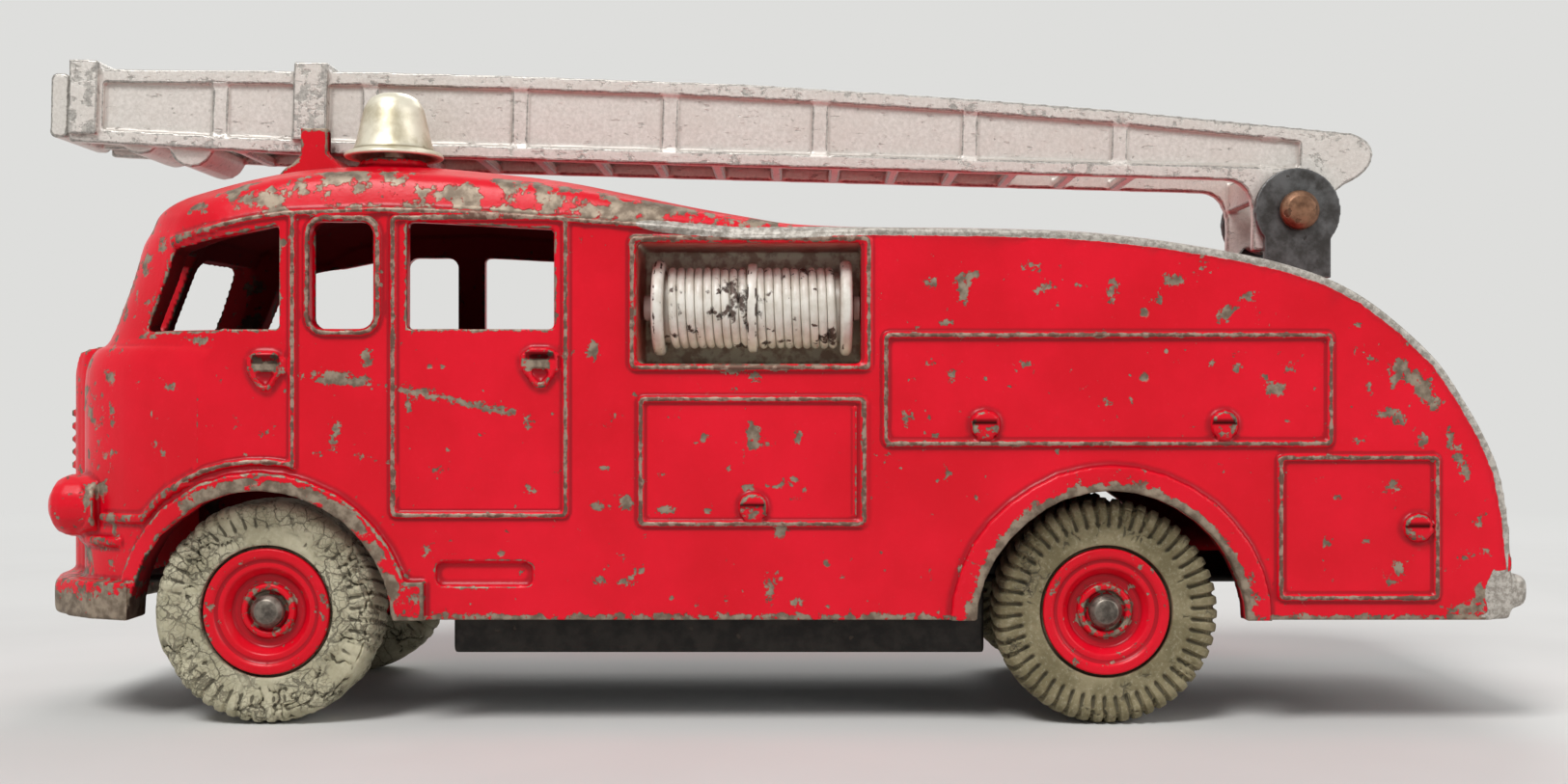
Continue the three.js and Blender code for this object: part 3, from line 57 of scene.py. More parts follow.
class Look:
    """One procedural material, with short calls for the nodes that the finishes share. Places are in mm."""

    def __init__(self, name):
        self.material = bpy.data.materials.new(name)
        self.material.use_nodes = True
        self.tree = self.material.node_tree
        self.shader = self.tree.nodes["Principled BSDF"]
        source = self.add("ShaderNodeTexCoord").outputs["Object"]
        self.place = self.vector("SCALE", source, scale=1 / MM)
        self.relief = self.attribute("relief")
        split = self.add("ShaderNodeSeparateXYZ", {"Vector": self.place})
        self.x, self.y, self.z = split.outputs

    def add(self, kind, inputs=None, **settings):
        node = self.tree.nodes.new(kind)
        for name, value in settings.items():
            setattr(node, name, value)
        for name, value in (inputs or {}).items():
            self.feed(node.inputs[name], value)
        return node

    def feed(self, socket, value):
        if isinstance(value, bpy.types.NodeSocket):
            self.tree.links.new(value, socket)
        else:
            socket.default_value = value

    def attribute(self, name):
        return self.add("ShaderNodeAttribute", attribute_name=name).outputs["Fac"]

    def math(self, operation, first, second=0.0, third=0.0):
        node = self.add("ShaderNodeMath", {0: first, 1: second, 2: third}, operation=operation)
        return node.outputs[0]

    def times(self, first, second):
        return self.math("MULTIPLY", first, second)

    def less(self, first, second):
        return self.math("SUBTRACT", first, second)

    def scaled(self, value, factor, start):
        """The value times the factor, and the start on top."""
        return self.math("MULTIPLY_ADD", value, factor, start)

    def vector(self, operation, first, second=(0.0, 0.0, 0.0), scale=1.0):
        node = self.add("ShaderNodeVectorMath", {0: first, 1: second}, operation=operation)
        if operation == "SCALE":
            node.inputs["Scale"].default_value = scale
        return node.outputs["Value" if operation == "LENGTH" else "Vector"]

    def noise(self, scale, detail=4.0, roughness=0.55, stretch=None, output="Fac"):
        spot = self.vector("MULTIPLY", self.place, stretch) if stretch else self.place
        inputs = {"Vector": spot, "Scale": scale, "Detail": detail, "Roughness": roughness}
        return self.add("ShaderNodeTexNoise", inputs).outputs[output]

    def warped(self, scale, amount):
        """Places shifted about by up to the amount, so that shapes drawn on them get ragged edges."""
        shift = self.noise(scale, output="Color")
        middle = self.vector("SUBTRACT", shift, (0.5, 0.5, 0.5))
        return self.vector("ADD", self.place, self.vector("SCALE", middle, scale=2 * amount))

    def cells(self, scale, place, feature="F1", output="Distance"):
        inputs = {"Vector": place, "Scale": scale}
        return self.add("ShaderNodeTexVoronoi", inputs, feature=feature).outputs[output]

    def spread(self, value, low, high):
        inputs = {"Value": value, "From Min": low, "From Max": high}
        return self.add("ShaderNodeMapRange", inputs, interpolation_type="SMOOTHSTEP").outputs["Result"]

    def mix(self, factor, first, second):
        node = self.add("ShaderNodeMix", {0: factor, 6: first, 7: second}, data_type="RGBA")
        return node.outputs[2]

    def tones(self, cloud, low, high, first, second):
        """The first colour where the cloud is below low, the second above high, and a mix between."""
        return self.mix(self.spread(cloud, low, high), first, second)

    def tinted(self, colour, tint, amount, share):
        """The colour with up to a share of the tint, by the amount at each place."""
        return self.mix(self.times(amount, share), colour, tint)

    def blend(self, factor, first, second):
        node = self.add("ShaderNodeMix", {0: factor, 2: first, 3: second}, data_type="FLOAT")
        return node.outputs[0]

    def edges(self, low, high, ragged, patchy):
        """Where the surface bends outward by more than a ragged limit between low and high, in 1/mm."""
        limit = self.scaled(self.noise(1.1, 6.0, 0.65), ragged * (high - low), low)
        limit = self.scaled(self.noise(0.12, 3.0), -patchy * (high - low), limit)
        inputs = {"Value": self.relief, "From Min": limit, "From Max": self.math("ADD", limit, 0.35)}
        return self.add("ShaderNodeMapRange", inputs).outputs["Result"]

    def hollow_grime_and_shade(self, depth):
        """How far each place lies in a hollow that bends inward by up to the stated amount, in 1/mm. The
        finishes darken these places: painted shade, with some grime.
        """
        return self.spread(self.relief, -0.15 * depth, -depth)

    def most(self, *values):
        top = values[0]
        for value in values[1:]:
            top = self.math("MAXIMUM", top, value)
        return top

    def bump(self, height, distance, normal=None):
        inputs = {"Height": height, "Distance": distance * MM}
        if normal:
            inputs["Normal"] = normal
        return self.add("ShaderNodeBump", inputs).outputs["Normal"]

    def finish(self, **inputs):
        for name, value in inputs.items():
            self.feed(self.shader.inputs[name.replace("_", " ")], value)
        return self.material


# Chips on the flank, each as its place along and up the body and its half length and half height
FLANK_CHIPS = (
    (16.0, 41.1, 0.5, 0.6), (19.2, 41.6, 0.9, 0.35), (19.1, 40.3, 0.45, 1.0), (20.1, 41.9, 0.5, 0.3),
    (25.3, 42.6, 0.6, 0.35), (26.6, 40.7, 0.6, 0.3), (25.8, 40.2, 0.4, 0.25), (29.6, 40.9, 0.3, 0.3),
    (32.7, 40.2, 0.4, 0.9), (33.1, 41.0, 0.4, 0.4), (37.1, 39.6, 0.35, 0.5), (38.4, 41.3, 0.9, 0.5),
    (43.2, 38.3, 0.5, 0.6), (42.8, 37.8, 0.4, 0.5), (45.3, 39.7, 0.6, 0.5), (40.9, 42.2, 0.35, 0.35),
    (42.4, 42.0, 0.3, 0.2), (17.4, 37.4, 0.5, 0.25), (24.8, 33.6, 0.5, 0.25), (16.1, 33.6, 0.4, 0.25),
    (14.5, 31.9, 0.45, 0.25), (18.0, 32.5, 0.4, 0.5), (13.9, 28.6, 0.45, 0.7), (15.9, 28.6, 0.3, 0.3),
    (32.1, 30.1, 0.5, 0.35), (29.7, 31.0, 0.3, 0.25), (34.7, 30.0, 0.3, 0.35), (42.1, 33.6, 0.4, 0.3),
    (44.3, 33.2, 0.45, 0.5), (16.4, 26.9, 0.3, 0.25), (17.6, 23.9, 0.25, 0.7), (16.2, 22.5, 0.3, 0.3),
    (-0.4, 27.4, 0.5, 1.0), (0.1, 26.3, 0.4, 0.8), (-4.7, 26.7, 0.4, 0.35), (3.7, 27.0, 0.4, 0.65),
    (-8.7, 23.3, 0.5, 0.25), (-2.6, 23.8, 0.35, 0.3), (-0.8, 22.2, 0.4, 0.3), (2.0, 22.3, 0.7, 0.25),
    (3.3, 23.0, 0.5, 0.3), (-8.3, 20.1, 0.7, 0.35), (-4.5, 20.2, 0.35, 0.35), (-12.0, 20.8, 0.6, 0.6),
    (2.3, 18.2, 0.55, 0.7), (-10.8, 14.5, 0.35, 0.5), (1.3, 12.9, 0.4, 1.3), (3.7, 11.6, 0.6, 0.35),
    (-2.2, 33.1, 0.9, 0.4), (-0.2, 32.4, 0.5, 0.3), (1.6, 33.3, 1.0, 0.35), (8.0, 14.0, 0.3, 0.25),
    (46.6, 32.5, 0.3, 0.3), (49.1, 33.3, 0.5, 0.4), (47.8, 31.3, 0.85, 0.6), (55.4, 37.4, 0.3, 0.3),
    (55.4, 35.0, 0.3, 0.35), (56.5, 34.0, 0.35, 0.4), (58.6, 32.4, 0.35, 1.0), (59.3, 33.5, 0.8, 0.5),
    (60.3, 32.4, 0.8, 0.6), (61.4, 31.2, 0.8, 0.8), (62.3, 29.9, 0.6, 0.8), (58.2, 29.1, 1.1, 0.4),
    (59.3, 28.4, 0.5, 0.4), (56.4, 31.3, 0.3, 0.4), (61.3, 26.5, 0.45, 0.6), (55.4, 26.5, 0.5, 0.3),
    (63.8, 26.7, 0.35, 0.9), (64.6, 25.2, 0.35, 0.9), (65.4, 23.8, 0.35, 0.9), (67.0, 19.3, 0.5, 0.25),
    (66.3, 18.7, 0.3, 0.3), (65.2, 15.8, 0.5, 0.4), (67.4, 16.4, 0.6, 0.25), (66.7, 12.4, 0.65, 0.9),
    (65.4, 11.0, 1.8, 0.4), (58.7, 22.4, 0.6, 0.4), (57.7, 21.4, 0.4, 0.3), (53.5, 21.3, 0.3, 0.25),
    (52.5, 17.1, 0.35, 0.5), (56.2, 17.3, 0.45, 0.4), (59.1, 14.8, 0.5, 0.6), (58.4, 13.5, 0.35, 0.3),
    (-35.9, 34.2, 0.55, 0.75), (-38.9, 32.3, 1.6, 0.6), (-36.6, 31.9, 1.2, 0.4), (-38.7, 27.6, 0.35, 0.7),
    (-39.1, 26.2, 0.35, 0.55), (-40.4, 25.2, 0.3, 0.35), (-36.4, 25.1, 0.55, 0.25), (-32.0, 29.8, 0.3, 0.5),
    (-20.9, 28.3, 0.35, 0.6), (-28.4, 25.6, 0.3, 0.3), (-29.3, 23.8, 0.6, 0.25), (-20.9, 22.1, 0.6, 0.4),
    (-15.0, 34.8, 0.5, 0.85), (-13.3, 28.7, 0.3, 0.45), (-14.0, 24.0, 0.35, 0.3), (-14.6, 20.5, 0.8, 0.4),
    (-12.7, 16.1, 0.3, 0.35), (-14.5, 13.6, 0.5, 0.4), (-12.1, 13.5, 0.6, 0.35), (-30.3, 16.3, 0.35, 0.6),
    (-56.6, 29.1, 0.6, 0.4), (-54.3, 31.5, 0.4, 0.3), (-55.7, 26.3, 0.35, 0.4), (-57.1, 27.3, 0.3, 0.4),
    (-51.5, 35.8, 0.9, 0.25), (-45.6, 27.4, 0.6, 0.2), (-55.0, 25.1, 0.3, 0.3), (-58.4, 32.6, 0.3, 0.4),
)
CHIP_SPREAD = 0.1
# Scratches on the flank, each from one place to another and half as wide as stated
FLANK_SCRATCHES = (
    (-42.1, 32.5, -34.2, 31.6, 0.2),
    (-32.8, 31.3, -22.1, 29.0, 0.36),
    (43.0, 37.7, 44.3, 39.2, 0.3),
    (1.0, 11.0, 2.2, 14.6, 0.1),
)
POCKET_X = (-10.9, 9.8)
POCKET_Z = (33.4, 44.6)
POCKET_MOUTH_Y = 19.0


def scattered_chips(look, scale, share, radius):
    """Small ragged spots, one in some of the cells of an even spread."""
    spot = look.warped(2.2, 0.35)
    distance = look.cells(scale, spot)
    chance = look.add("ShaderNodeSeparateColor", {"Color": look.cells(scale, spot, output="Color")}).outputs
    size = look.times(chance[1], radius * scale)
    shown = look.spread(chance[0], 1 - share, 1 - share + 0.02)
    inside = look.spread(look.less(distance, size), 0.02, -0.02)
    return look.times(inside, shown)


def painted_metal(name, body):
    """Gloss red paint over zinc alloy, bare where it is rubbed or chipped off."""
    look = Look(name)
    ragged = look.noise(1.2, 6.0, 0.68)
    patchy = look.noise(0.3, 3.0)
    limit = look.scaled(ragged, -1.1, 1.3)
    limit = look.scaled(patchy, -0.5, limit)
    crest = look.scaled(look.less(ragged, 0.5), 0.3, look.attribute("bead"))
    crest = look.spread(crest, 0.78, 0.84)
    rub = look.most(look.attribute("rub"), look.times(crest, 0.72))
    rubbed = look.spread(look.less(rub, limit), 0.0, 0.05)
    cloud = look.noise(0.42, 6.0, 0.62)
    blotched = look.spread(look.scaled(cloud, 1.5, look.attribute("blotch")), 1.24, 1.3)
    lipped = look.scaled(look.less(ragged, 0.5), 0.3, look.attribute("rim"))
    lipped = look.spread(lipped, 0.4, 0.46)
    nibbled = look.less(look.noise(1.9, 5.0, 0.65), 0.5)
    chipped = look.scaled(nibbled, 1.5, look.attribute("chip"))
    chipped = look.spread(chipped, 0.5, 0.56)
    bare = look.most(rubbed, chipped, blotched, lipped, scattered_chips(look, 0.3, 0.34, 0.42),
                     scattered_chips(look, 0.9, 0.1, 0.22))

    fade = look.noise(0.07, 5.0, 0.6)
    fine = look.noise(1.9, 5.0, 0.7)
    red = look.tones(fade, 0.35, 0.7, shade(208, 4, 28), shade(224, 10, 38))
    red = look.tinted(red, shade(236, 50, 78), look.spread(fine, 0.55, 0.8), 0.25)
    # Darker red in the hollows: painted shade with some grime.
    red = look.tinted(red, shade(120, 6, 20), look.hollow_grime_and_shade(1.6), 0.6)
    zinc = look.tones(look.noise(0.9, 5.0), 0.35, 0.65, shade(106, 92, 78), shade(154, 139, 121))
    dull = look.tones(look.noise(1.4, 4.0), 0.42, 0.62, shade(108, 78, 66), shade(160, 138, 122))
    zinc = look.mix(crest, zinc, dull)
    zinc = look.mix(lipped, zinc, look.tones(fine, 0.4, 0.6, shade(146, 139, 130), shade(190, 184, 175)))
    colour = look.mix(bare, red, zinc)
    # Near black where shade is painted: the slots of knobs and handles, the cab's inside and the wheel wells.
    colour = look.mix(look.attribute("painted_shade"), colour, shade(36, 16, 15))
    height = look.less(look.times(look.noise(0.55, 2.0), 0.5), bare)
    if body:
        along = look.times(look.spread(look.x, POCKET_X[0] - 0.3, POCKET_X[0]),
                          look.spread(look.x, POCKET_X[1] + 0.3, POCKET_X[1]))
        upward = look.times(look.spread(look.z, POCKET_Z[0] - 0.3, POCKET_Z[0]),
                           look.spread(look.z, POCKET_Z[1] + 0.3, POCKET_Z[1]))
        away = look.math("ADD", look.math("ABSOLUTE", look.y), look.times(ragged, 0.9))
        lined = look.times(look.times(along, upward),
                          look.spread(away, POCKET_MOUTH_Y + 0.5, POCKET_MOUTH_Y + 0.2))
        cream = look.tones(look.noise(0.8, 5.0), 0.42, 0.62, shade(238, 232, 208), shade(190, 164, 142))
        colour = look.mix(lined, colour, cream)
    normal = look.bump(height, 0.05)
    normal = look.bump(look.noise(3.5, 3.0), 0.012, normal)
    rough = look.blend(bare, look.scaled(fine, 0.16, 0.24), 0.5)
    # Where shade is painted, the paint is fully rough and without shine, so no highlight shows there.
    rough = look.blend(look.attribute("painted_shade"), rough, 1.0)
    shine = look.blend(look.attribute("painted_shade"), 0.25, 0.0)
    return look.finish(Base_Color=colour, Roughness=rough, Metallic=look.times(bare, 0.35),
                       Specular_IOR_Level=shine, Normal=normal)


def silver_paint(name):
    """Warm silver paint, rubbed to grey metal along edges and marked by handling."""
    look = Look(name)
    edges = look.edges(0.7, 3.6, 1.5, 0.7)
    streak = look.noise(1.5, 6.0, 0.7, stretch=(0.3, 1.0, 1.0))
    rubs = look.times(look.spread(streak, 0.6, 0.66), 0.7)
    mottled = look.scaled(look.noise(0.75, 6.0, 0.68), 1.5, look.attribute("rub"))
    mottled = look.times(look.spread(mottled, 1.24, 1.36), 0.85)
    worn = look.most(edges, rubs, mottled, scattered_chips(look, 0.5, 0.22, 0.3))
    grain = look.noise(2.6, 6.0, 0.75)
    tone = look.tones(grain, 0.3, 0.72, shade(198, 192, 184), shade(221, 216, 209))
    cloud = look.spread(look.noise(0.2, 3.0), 0.45, 0.7)
    tone = look.tinted(tone, shade(204, 195, 186), cloud, 0.4)
    metal = look.tones(grain, 0.35, 0.65, shade(134, 131, 126), shade(184, 179, 172))
    colour = look.mix(worn, tone, metal)
    # Darker in the hollows, outlining the panels: painted shade with some grime.
    colour = look.tinted(colour, shade(140, 128, 120), look.hollow_grime_and_shade(2.4), 0.35)
    rust = scattered_chips(look, 0.16, 0.3, 0.6)
    colour = look.tinted(colour, shade(122, 84, 76), rust, 0.5)
    normal = look.bump(look.less(look.times(grain, 0.6), worn), 0.04)
    rough = look.blend(worn, look.scaled(grain, 0.2, 0.34), 0.42)
    metallic = look.blend(worn, 0.3, 0.75)
    return look.finish(Base_Color=colour, Roughness=rough, Metallic=metallic, Normal=normal)


def reel_paint(name):
    """Thick off-white paint with dark chips down to the alloy on the high spots."""
    look = Look(name)
    ragged = look.noise(1.4, 6.0, 0.65)
    edges = look.edges(1.2, 3.6, 1.5, 0.5)
    blots = look.spread(look.noise(0.85, 5.0, 0.6), 0.68, 0.7)
    worn = look.most(look.times(edges, look.spread(look.noise(0.5, 3.0), 0.56, 0.6)), blots,
                     scattered_chips(look, 0.6, 0.22, 0.32))
    tone = look.tones(look.noise(0.7, 4.0), 0.35, 0.7, shade(226, 222, 212), shade(204, 197, 184))
    dark = look.tones(look.noise(1.5, 3.0), 0.4, 0.6, shade(62, 48, 42), shade(98, 84, 76))
    # Darker in the hollows: painted shade with some grime.
    tone = look.tinted(tone, shade(120, 104, 90), look.hollow_grime_and_shade(2.0), 0.75)
    colour = look.mix(worn, tone, dark)
    normal = look.bump(look.less(0.0, worn), 0.05)
    normal = look.bump(look.noise(3.0, 3.0), 0.01, normal)
    rough = look.blend(worn, look.scaled(ragged, 0.15, 0.28), 0.6)
    return look.finish(Base_Color=colour, Roughness=rough, Metallic=look.times(worn, 0.4), Normal=normal)


def aged_metal(name, low, high, mark, metallic, roughness, scale=0.6):
    """Bare or plated metal with smudges, fine scuffs and marks of another tone."""
    look = Look(name)
    cloud = look.noise(scale, 6.0, 0.6)
    fine = look.noise(5 * scale, 5.0, 0.7)
    tone = look.tones(cloud, 0.35, 0.68, low, high)
    spots = look.most(scattered_chips(look, 1.1 * scale, 0.3, 0.5), look.spread(fine, 0.66, 0.72))
    colour = look.tinted(tone, mark, spots, 0.6)
    colour = look.tinted(colour, high, look.spread(look.relief, 1.2, 3.0), 0.6)
    # The mark's tone in the hollows: tarnish with painted shade.
    colour = look.tinted(colour, mark, look.hollow_grime_and_shade(1.5), 0.7)
    rough = look.scaled(cloud, 0.25, roughness)
    normal = look.bump(look.less(look.times(fine, 0.4), spots), 0.025)
    return look.finish(Base_Color=colour, Roughness=rough, Metallic=metallic, Normal=normal)


def old_rubber(name, crazed, low, high):
    """Perished grey-olive rubber: chalky bloom, fine cracks, and darker hollows of grime with painted shade.
    """
    look = Look(name)
    spot = look.warped(0.8, 0.8)
    gap = look.cells(0.62, spot, "DISTANCE_TO_EDGE")
    finer = look.cells(1.9, look.warped(1.7, 0.35), "DISTANCE_TO_EDGE")
    where = look.spread(look.noise(0.3, 3.0), *((0.38, 0.55) if crazed else (0.6, 0.68)))
    deep = look.times(look.spread(gap, 0.055, 0.02), where)
    slight = look.times(look.spread(finer, 0.06, 0.015), look.times(where, 0.45))
    cracks = look.most(deep, slight)
    cloud = look.noise(0.35, 5.0, 0.6)
    grain = look.noise(2.8, 6.0, 0.75)
    tone = look.tones(cloud, 0.35, 0.65, low, high)
    tone = look.tinted(tone, shade(190, 185, 164), look.spread(grain, 0.5, 0.75), 0.4)
    # Darker in the hollows: grime with painted shade.
    tone = look.tinted(tone, shade(72, 66, 50), look.hollow_grime_and_shade(2.2), 0.85)
    colour = look.tinted(tone, shade(70, 64, 50), cracks, 0.68)
    height = look.less(look.times(grain, 0.35), cracks)
    normal = look.bump(height, 0.14)
    rough = look.scaled(grain, 0.1, 0.84)
    return look.finish(Base_Color=colour, Roughness=rough, Normal=normal)


# Each finish is its slot and its material
RED_BODY = "red_paint", painted_metal("red_paint_body", True)
RED_HUB = "red_paint", painted_metal("red_paint_hub", False)
SILVER = "silver_paint", silver_paint("silver_paint_worn")
REEL = "reel_paint", reel_paint("reel_paint_worn")
TIN = "dark_tinplate", aged_metal(
    "dark_tinplate_worn", shade(64, 62, 60), shade(100, 100, 100), shade(44, 40, 36), 0.75, 0.28)
# Dark tinplate for the baseplate, made near black as painted shade under the body.
TIN_SHADED = "dark_tinplate", aged_metal(
    "dark_tinplate_painted_shade", shade(28, 26, 24), shade(50, 47, 43), shade(72, 64, 56), 0.6, 0.4)
STEEL = "steel", aged_metal(
    "steel_aged", shade(78, 72, 66), shade(132, 124, 114), shade(58, 44, 36), 0.8, 0.3, 0.9)
BRONZE = "bronze", aged_metal(
    "bronze_aged", shade(98, 70, 52), shade(142, 106, 82), shade(54, 38, 30), 0.75, 0.32, 0.9)
GOLD = "gold", aged_metal(
    "gold_plating_worn", shade(190, 180, 152), shade(232, 226, 206), shade(132, 118, 90), 0.6, 0.26, 0.35)
RUBBER_CRAZED = "old_rubber", old_rubber(
    "old_rubber_crazed", True, shade(162, 156, 129), shade(190, 184, 157))
RUBBER_SOUND = "old_rubber", old_rubber(
    "old_rubber_ribbed", False, shade(110, 101, 72), shade(141, 131, 101))


# Mesh helpers

SOFTENING_ROUNDS = 2
MELTING_ROUNDS = 20
# A bend of the skin, in 1/mm, past which its places are kept when the flat stretches are thinned out
DETAIL_BEND = 0.35
DETAIL_WEIGHT = 0.12
KEPT_SHARE = 0.3


def array_of(mesh):
    places = np.empty(len(mesh.vertices) * 3)
    mesh.vertices.foreach_get("co", places)
    return places.reshape(-1, 3)


def set_places(mesh, places):
    mesh.vertices.foreach_set("co", places.astype(np.float32).ravel())
    mesh.update()


def dressed(node, mesh, finish, body="chassis"):
    """Puts a finished mesh, in metres at its real place, on its body in place of a CAD node."""
    slot, material = finish
    name = f"{node}_finished"
    mesh.name = name
    mesh.materials.clear()
    mesh.materials.append(material)
    piece = bpy.data.objects.new(name, mesh)
    bpy.context.scene.collection.objects.link(piece)
    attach(piece, body)
    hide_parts(node)


def evaluated(source, kind, weights=None, **settings):
    """A new mesh: the source mesh with one modifier applied, which heeds the points' weights if given."""
    carrier = bpy.data.objects.new("carrier", source)
    bpy.context.scene.collection.objects.link(carrier)
    modifier = carrier.modifiers.new(kind.lower(), kind)
    if weights:
        group = carrier.vertex_groups.new(name="weights")
        for weight, points in weights.items():
            group.add(points.tolist(), weight, "REPLACE")
        modifier.vertex_group = group.name
    for key, value in settings.items():
        setattr(modifier, key, value)
    graph = bpy.context.evaluated_depsgraph_get()
    mesh = bpy.data.meshes.new_from_object(carrier.evaluated_get(graph))
    bpy.data.objects.remove(carrier)
    return mesh


def linked(mesh):
    """The first and second end of each edge, and how many edges meet at each point."""
    ends = np.empty(len(mesh.edges) * 2, np.int64)
    mesh.edges.foreach_get("vertices", ends)
    valence = np.maximum(np.bincount(ends, minlength=len(mesh.vertices)), 1)
    return (*ends.reshape(-1, 2).T, valence)


def mean_around(values, links):
    """For each point, the mean of the values at the points that share an edge with it."""
    first, second, valence = links
    count = len(valence)
    return (np.bincount(first, values[second], count) + np.bincount(second, values[first], count)) / valence


def drift(places, links):
    """How far each place is from the middle of its neighbours."""
    return np.stack([mean_around(line, links) for line in places.T], -1) - places


def melted(mesh, chosen, rounds):
    """Rounds off the chosen places with many small steps towards their neighbours."""
    places, links = array_of(mesh), linked(mesh)
    for _ in range(rounds):
        places = places + chosen[:, None] * drift(places, links) / 2
    set_places(mesh, places)


def relaxed(mesh, rounds):
    """Rounds off small edges while keeping the size: smoothing steps alternate with steps back."""
    places, links = array_of(mesh), linked(mesh)
    for _ in range(rounds):
        for step in (0.5, -0.46):
            places = places + drift(places, links) * step
    set_places(mesh, places)


def point_normals(mesh):
    normals = np.empty(len(mesh.vertices) * 3)
    mesh.vertex_normals.foreach_get("vector", normals)
    return normals.reshape(-1, 3)


def measure_relief(mesh):
    """Stores how sharply the surface bends at each point, in 1/mm: above 0 on edges, below 0 in hollows."""
    places, normals, links = array_of(mesh) / MM, point_normals(mesh), linked(mesh)
    first, second, valence = links
    count = len(places)
    run = places[second] - places[first]
    square = np.maximum((run ** 2).sum(1), 1e-6)
    at_first = -4 * (normals[first] * run).sum(1) / square
    at_second = 4 * (normals[second] * run).sum(1) / square
    bend = (np.bincount(first, at_first, count) + np.bincount(second, at_second, count)) / valence
    for _ in range(2):
        bend = (bend + mean_around(bend, links)) / 2
    store_shares(mesh, "relief", bend)
    return bend


def store_shares(mesh, name, values):
    mesh.attributes.new(name, "FLOAT", "POINT").data.foreach_set("value", values.astype(np.float32))


def recast(node, grid, skin=None, form=None, rounded=None, wear=None):
    """A cast copy of a CAD node: a fine even skin with softened edges, thinned out again where it is flat.

    The calls, where given, move the fine skin's places, move them again once its edges are softened, choose
    the places to round off, and store the wear and any painted shade while saying which places need their
    detail.
    """
    mesh = evaluated(NODES[node].data.copy(), "REMESH", mode="VOXEL", voxel_size=grid * MM)
    if skin:
        set_places(mesh, skin(array_of(mesh)))
    relaxed(mesh, SOFTENING_ROUNDS)
    if form:
        set_places(mesh, form(array_of(mesh)))
    if rounded:
        melted(mesh, rounded(array_of(mesh)), MELTING_ROUNDS)
    bend = measure_relief(mesh)
    detailed = np.abs(bend) > DETAIL_BEND
    if wear:
        detailed |= wear(mesh, bend)
    weights = {DETAIL_WEIGHT: np.flatnonzero(detailed), 1.0: np.flatnonzero(~detailed)}
    mesh = evaluated(mesh, "DECIMATE", weights, ratio=KEPT_SHARE)
    mesh.shade_smooth()
    return mesh


def softened(points, radius, closed=False, steps=4):
    """The line of points with each corner rounded by about the radius."""
    count = len(points)
    line = []
    for index, point in enumerate(points):
        here = np.array(point, float)
        if not closed and index in (0, count - 1):
            line.append(here)
            continue
        before = np.array(points[index - 1], float) - here
        after = np.array(points[(index + 1) % count], float) - here
        cut = min(radius, 0.45 * np.linalg.norm(before), 0.45 * np.linalg.norm(after))
        start = here + before / np.linalg.norm(before) * cut
        end = here + after / np.linalg.norm(after) * cut
        for step in range(steps + 1):
            t = step / steps
            line.append(start * (1 - t) ** 2 + here * 2 * t * (1 - t) + end * t ** 2)
    return np.array(line)


def filled(line, pitch, closed=False):
    """The line with points added so that none are further apart than the pitch."""
    points = []
    last = len(line) if closed else len(line) - 1
    for index in range(last):
        start, end = line[index], line[(index + 1) % len(line)]
        parts = max(1, math.ceil(np.linalg.norm(end - start) / pitch))
        points += [start + (end - start) * part / parts for part in range(parts)]
    if not closed:
        points.append(line[-1])
    return np.array(points)


def quads(rings, width, rings_close, width_closes):
    """The faces between neighbouring points of some rings of points, numbered ring by ring."""
    faces = []
    for ring in range(rings if rings_close else rings - 1):
        here, after = ring * width, (ring + 1) % rings * width
        for index in range(width if width_closes else width - 1):
            beyond = (index + 1) % width
            faces.append((here + index, here + beyond, after + beyond, after + index))
    return faces


def turned(line, centre, axis, steps, closed=False, shape=None):
    """A mesh turned from a line of radii and places along the axis, on which an open line ends."""
    angles = FULL_TURN * np.arange(steps) / steps
    line = np.array(line, float)
    ring = line if closed else line[1:-1]
    radius = np.repeat(ring[None, :, 0], steps, 0)
    along = np.repeat(ring[None, :, 1], steps, 0)
    if shape:
        radius, along = shape(angles[:, None], radius, along)
    across = [radius * np.cos(angles)[:, None], radius * np.sin(angles)[:, None]]
    places = np.stack([*across, along], -1).reshape(-1, 3)
    width = len(ring)
    faces = quads(steps, width, True, closed)
    if not closed:
        first, last = len(places), len(places) + 1
        places = np.vstack([places, [(0, 0, line[0][1]), (0, 0, line[-1][1])]])
        for step in range(steps):
            here, after = step * width, (step + 1) % steps * width
            faces.append((first, here, after))
            faces.append((last, after + width - 1, here + width - 1))
    order = {"x": (2, 0, 1), "y": (0, 2, 1), "z": (0, 1, 2)}[axis]
    return smooth_closed(places[:, order] + np.array(centre), faces, 40)


def smooth_closed(places, faces, angle):
    """A closed mesh from places in mm, with its faces outward, smooth up to the angle, and its relief."""
    mesh = bpy.data.meshes.new("closed")
    mesh.from_pydata((places * MM).tolist(), [], faces)
    work = bmesh.new()
    work.from_mesh(mesh)
    bmesh.ops.recalc_face_normals(work, faces=work.faces)
    work.to_mesh(mesh)
    work.free()
    mesh.shade_smooth()
    mesh.set_sharp_from_angle(angle=math.radians(angle))
    measure_relief(mesh)
    return mesh


def step_up(value, low, high):
    """0 below low, 1 above high, and a smooth rise between."""
    t = np.clip((value - low) / (high - low), 0, 1)
    return t * t * (3 - 2 * t)


# Body: the lofted form behind the casting, used to take the facets out of its skin

BODY_HALF_WIDTH = 20
FRONT_X = -66.5
REAR_X = 69.7
SILL_Z = 10
ROOF_TOP_Z = 53.2
WINDOW_SILL_Z = 36.8
NOSE_WRAP = 15
ROOF_DROP = 5.4
NOSE_CURVE_POWER = 5
ROOF_CURVE_POWER = 3.2
ACROSS_SHARES = (0, 0.4, 0.68, 0.85, 0.95, 1)
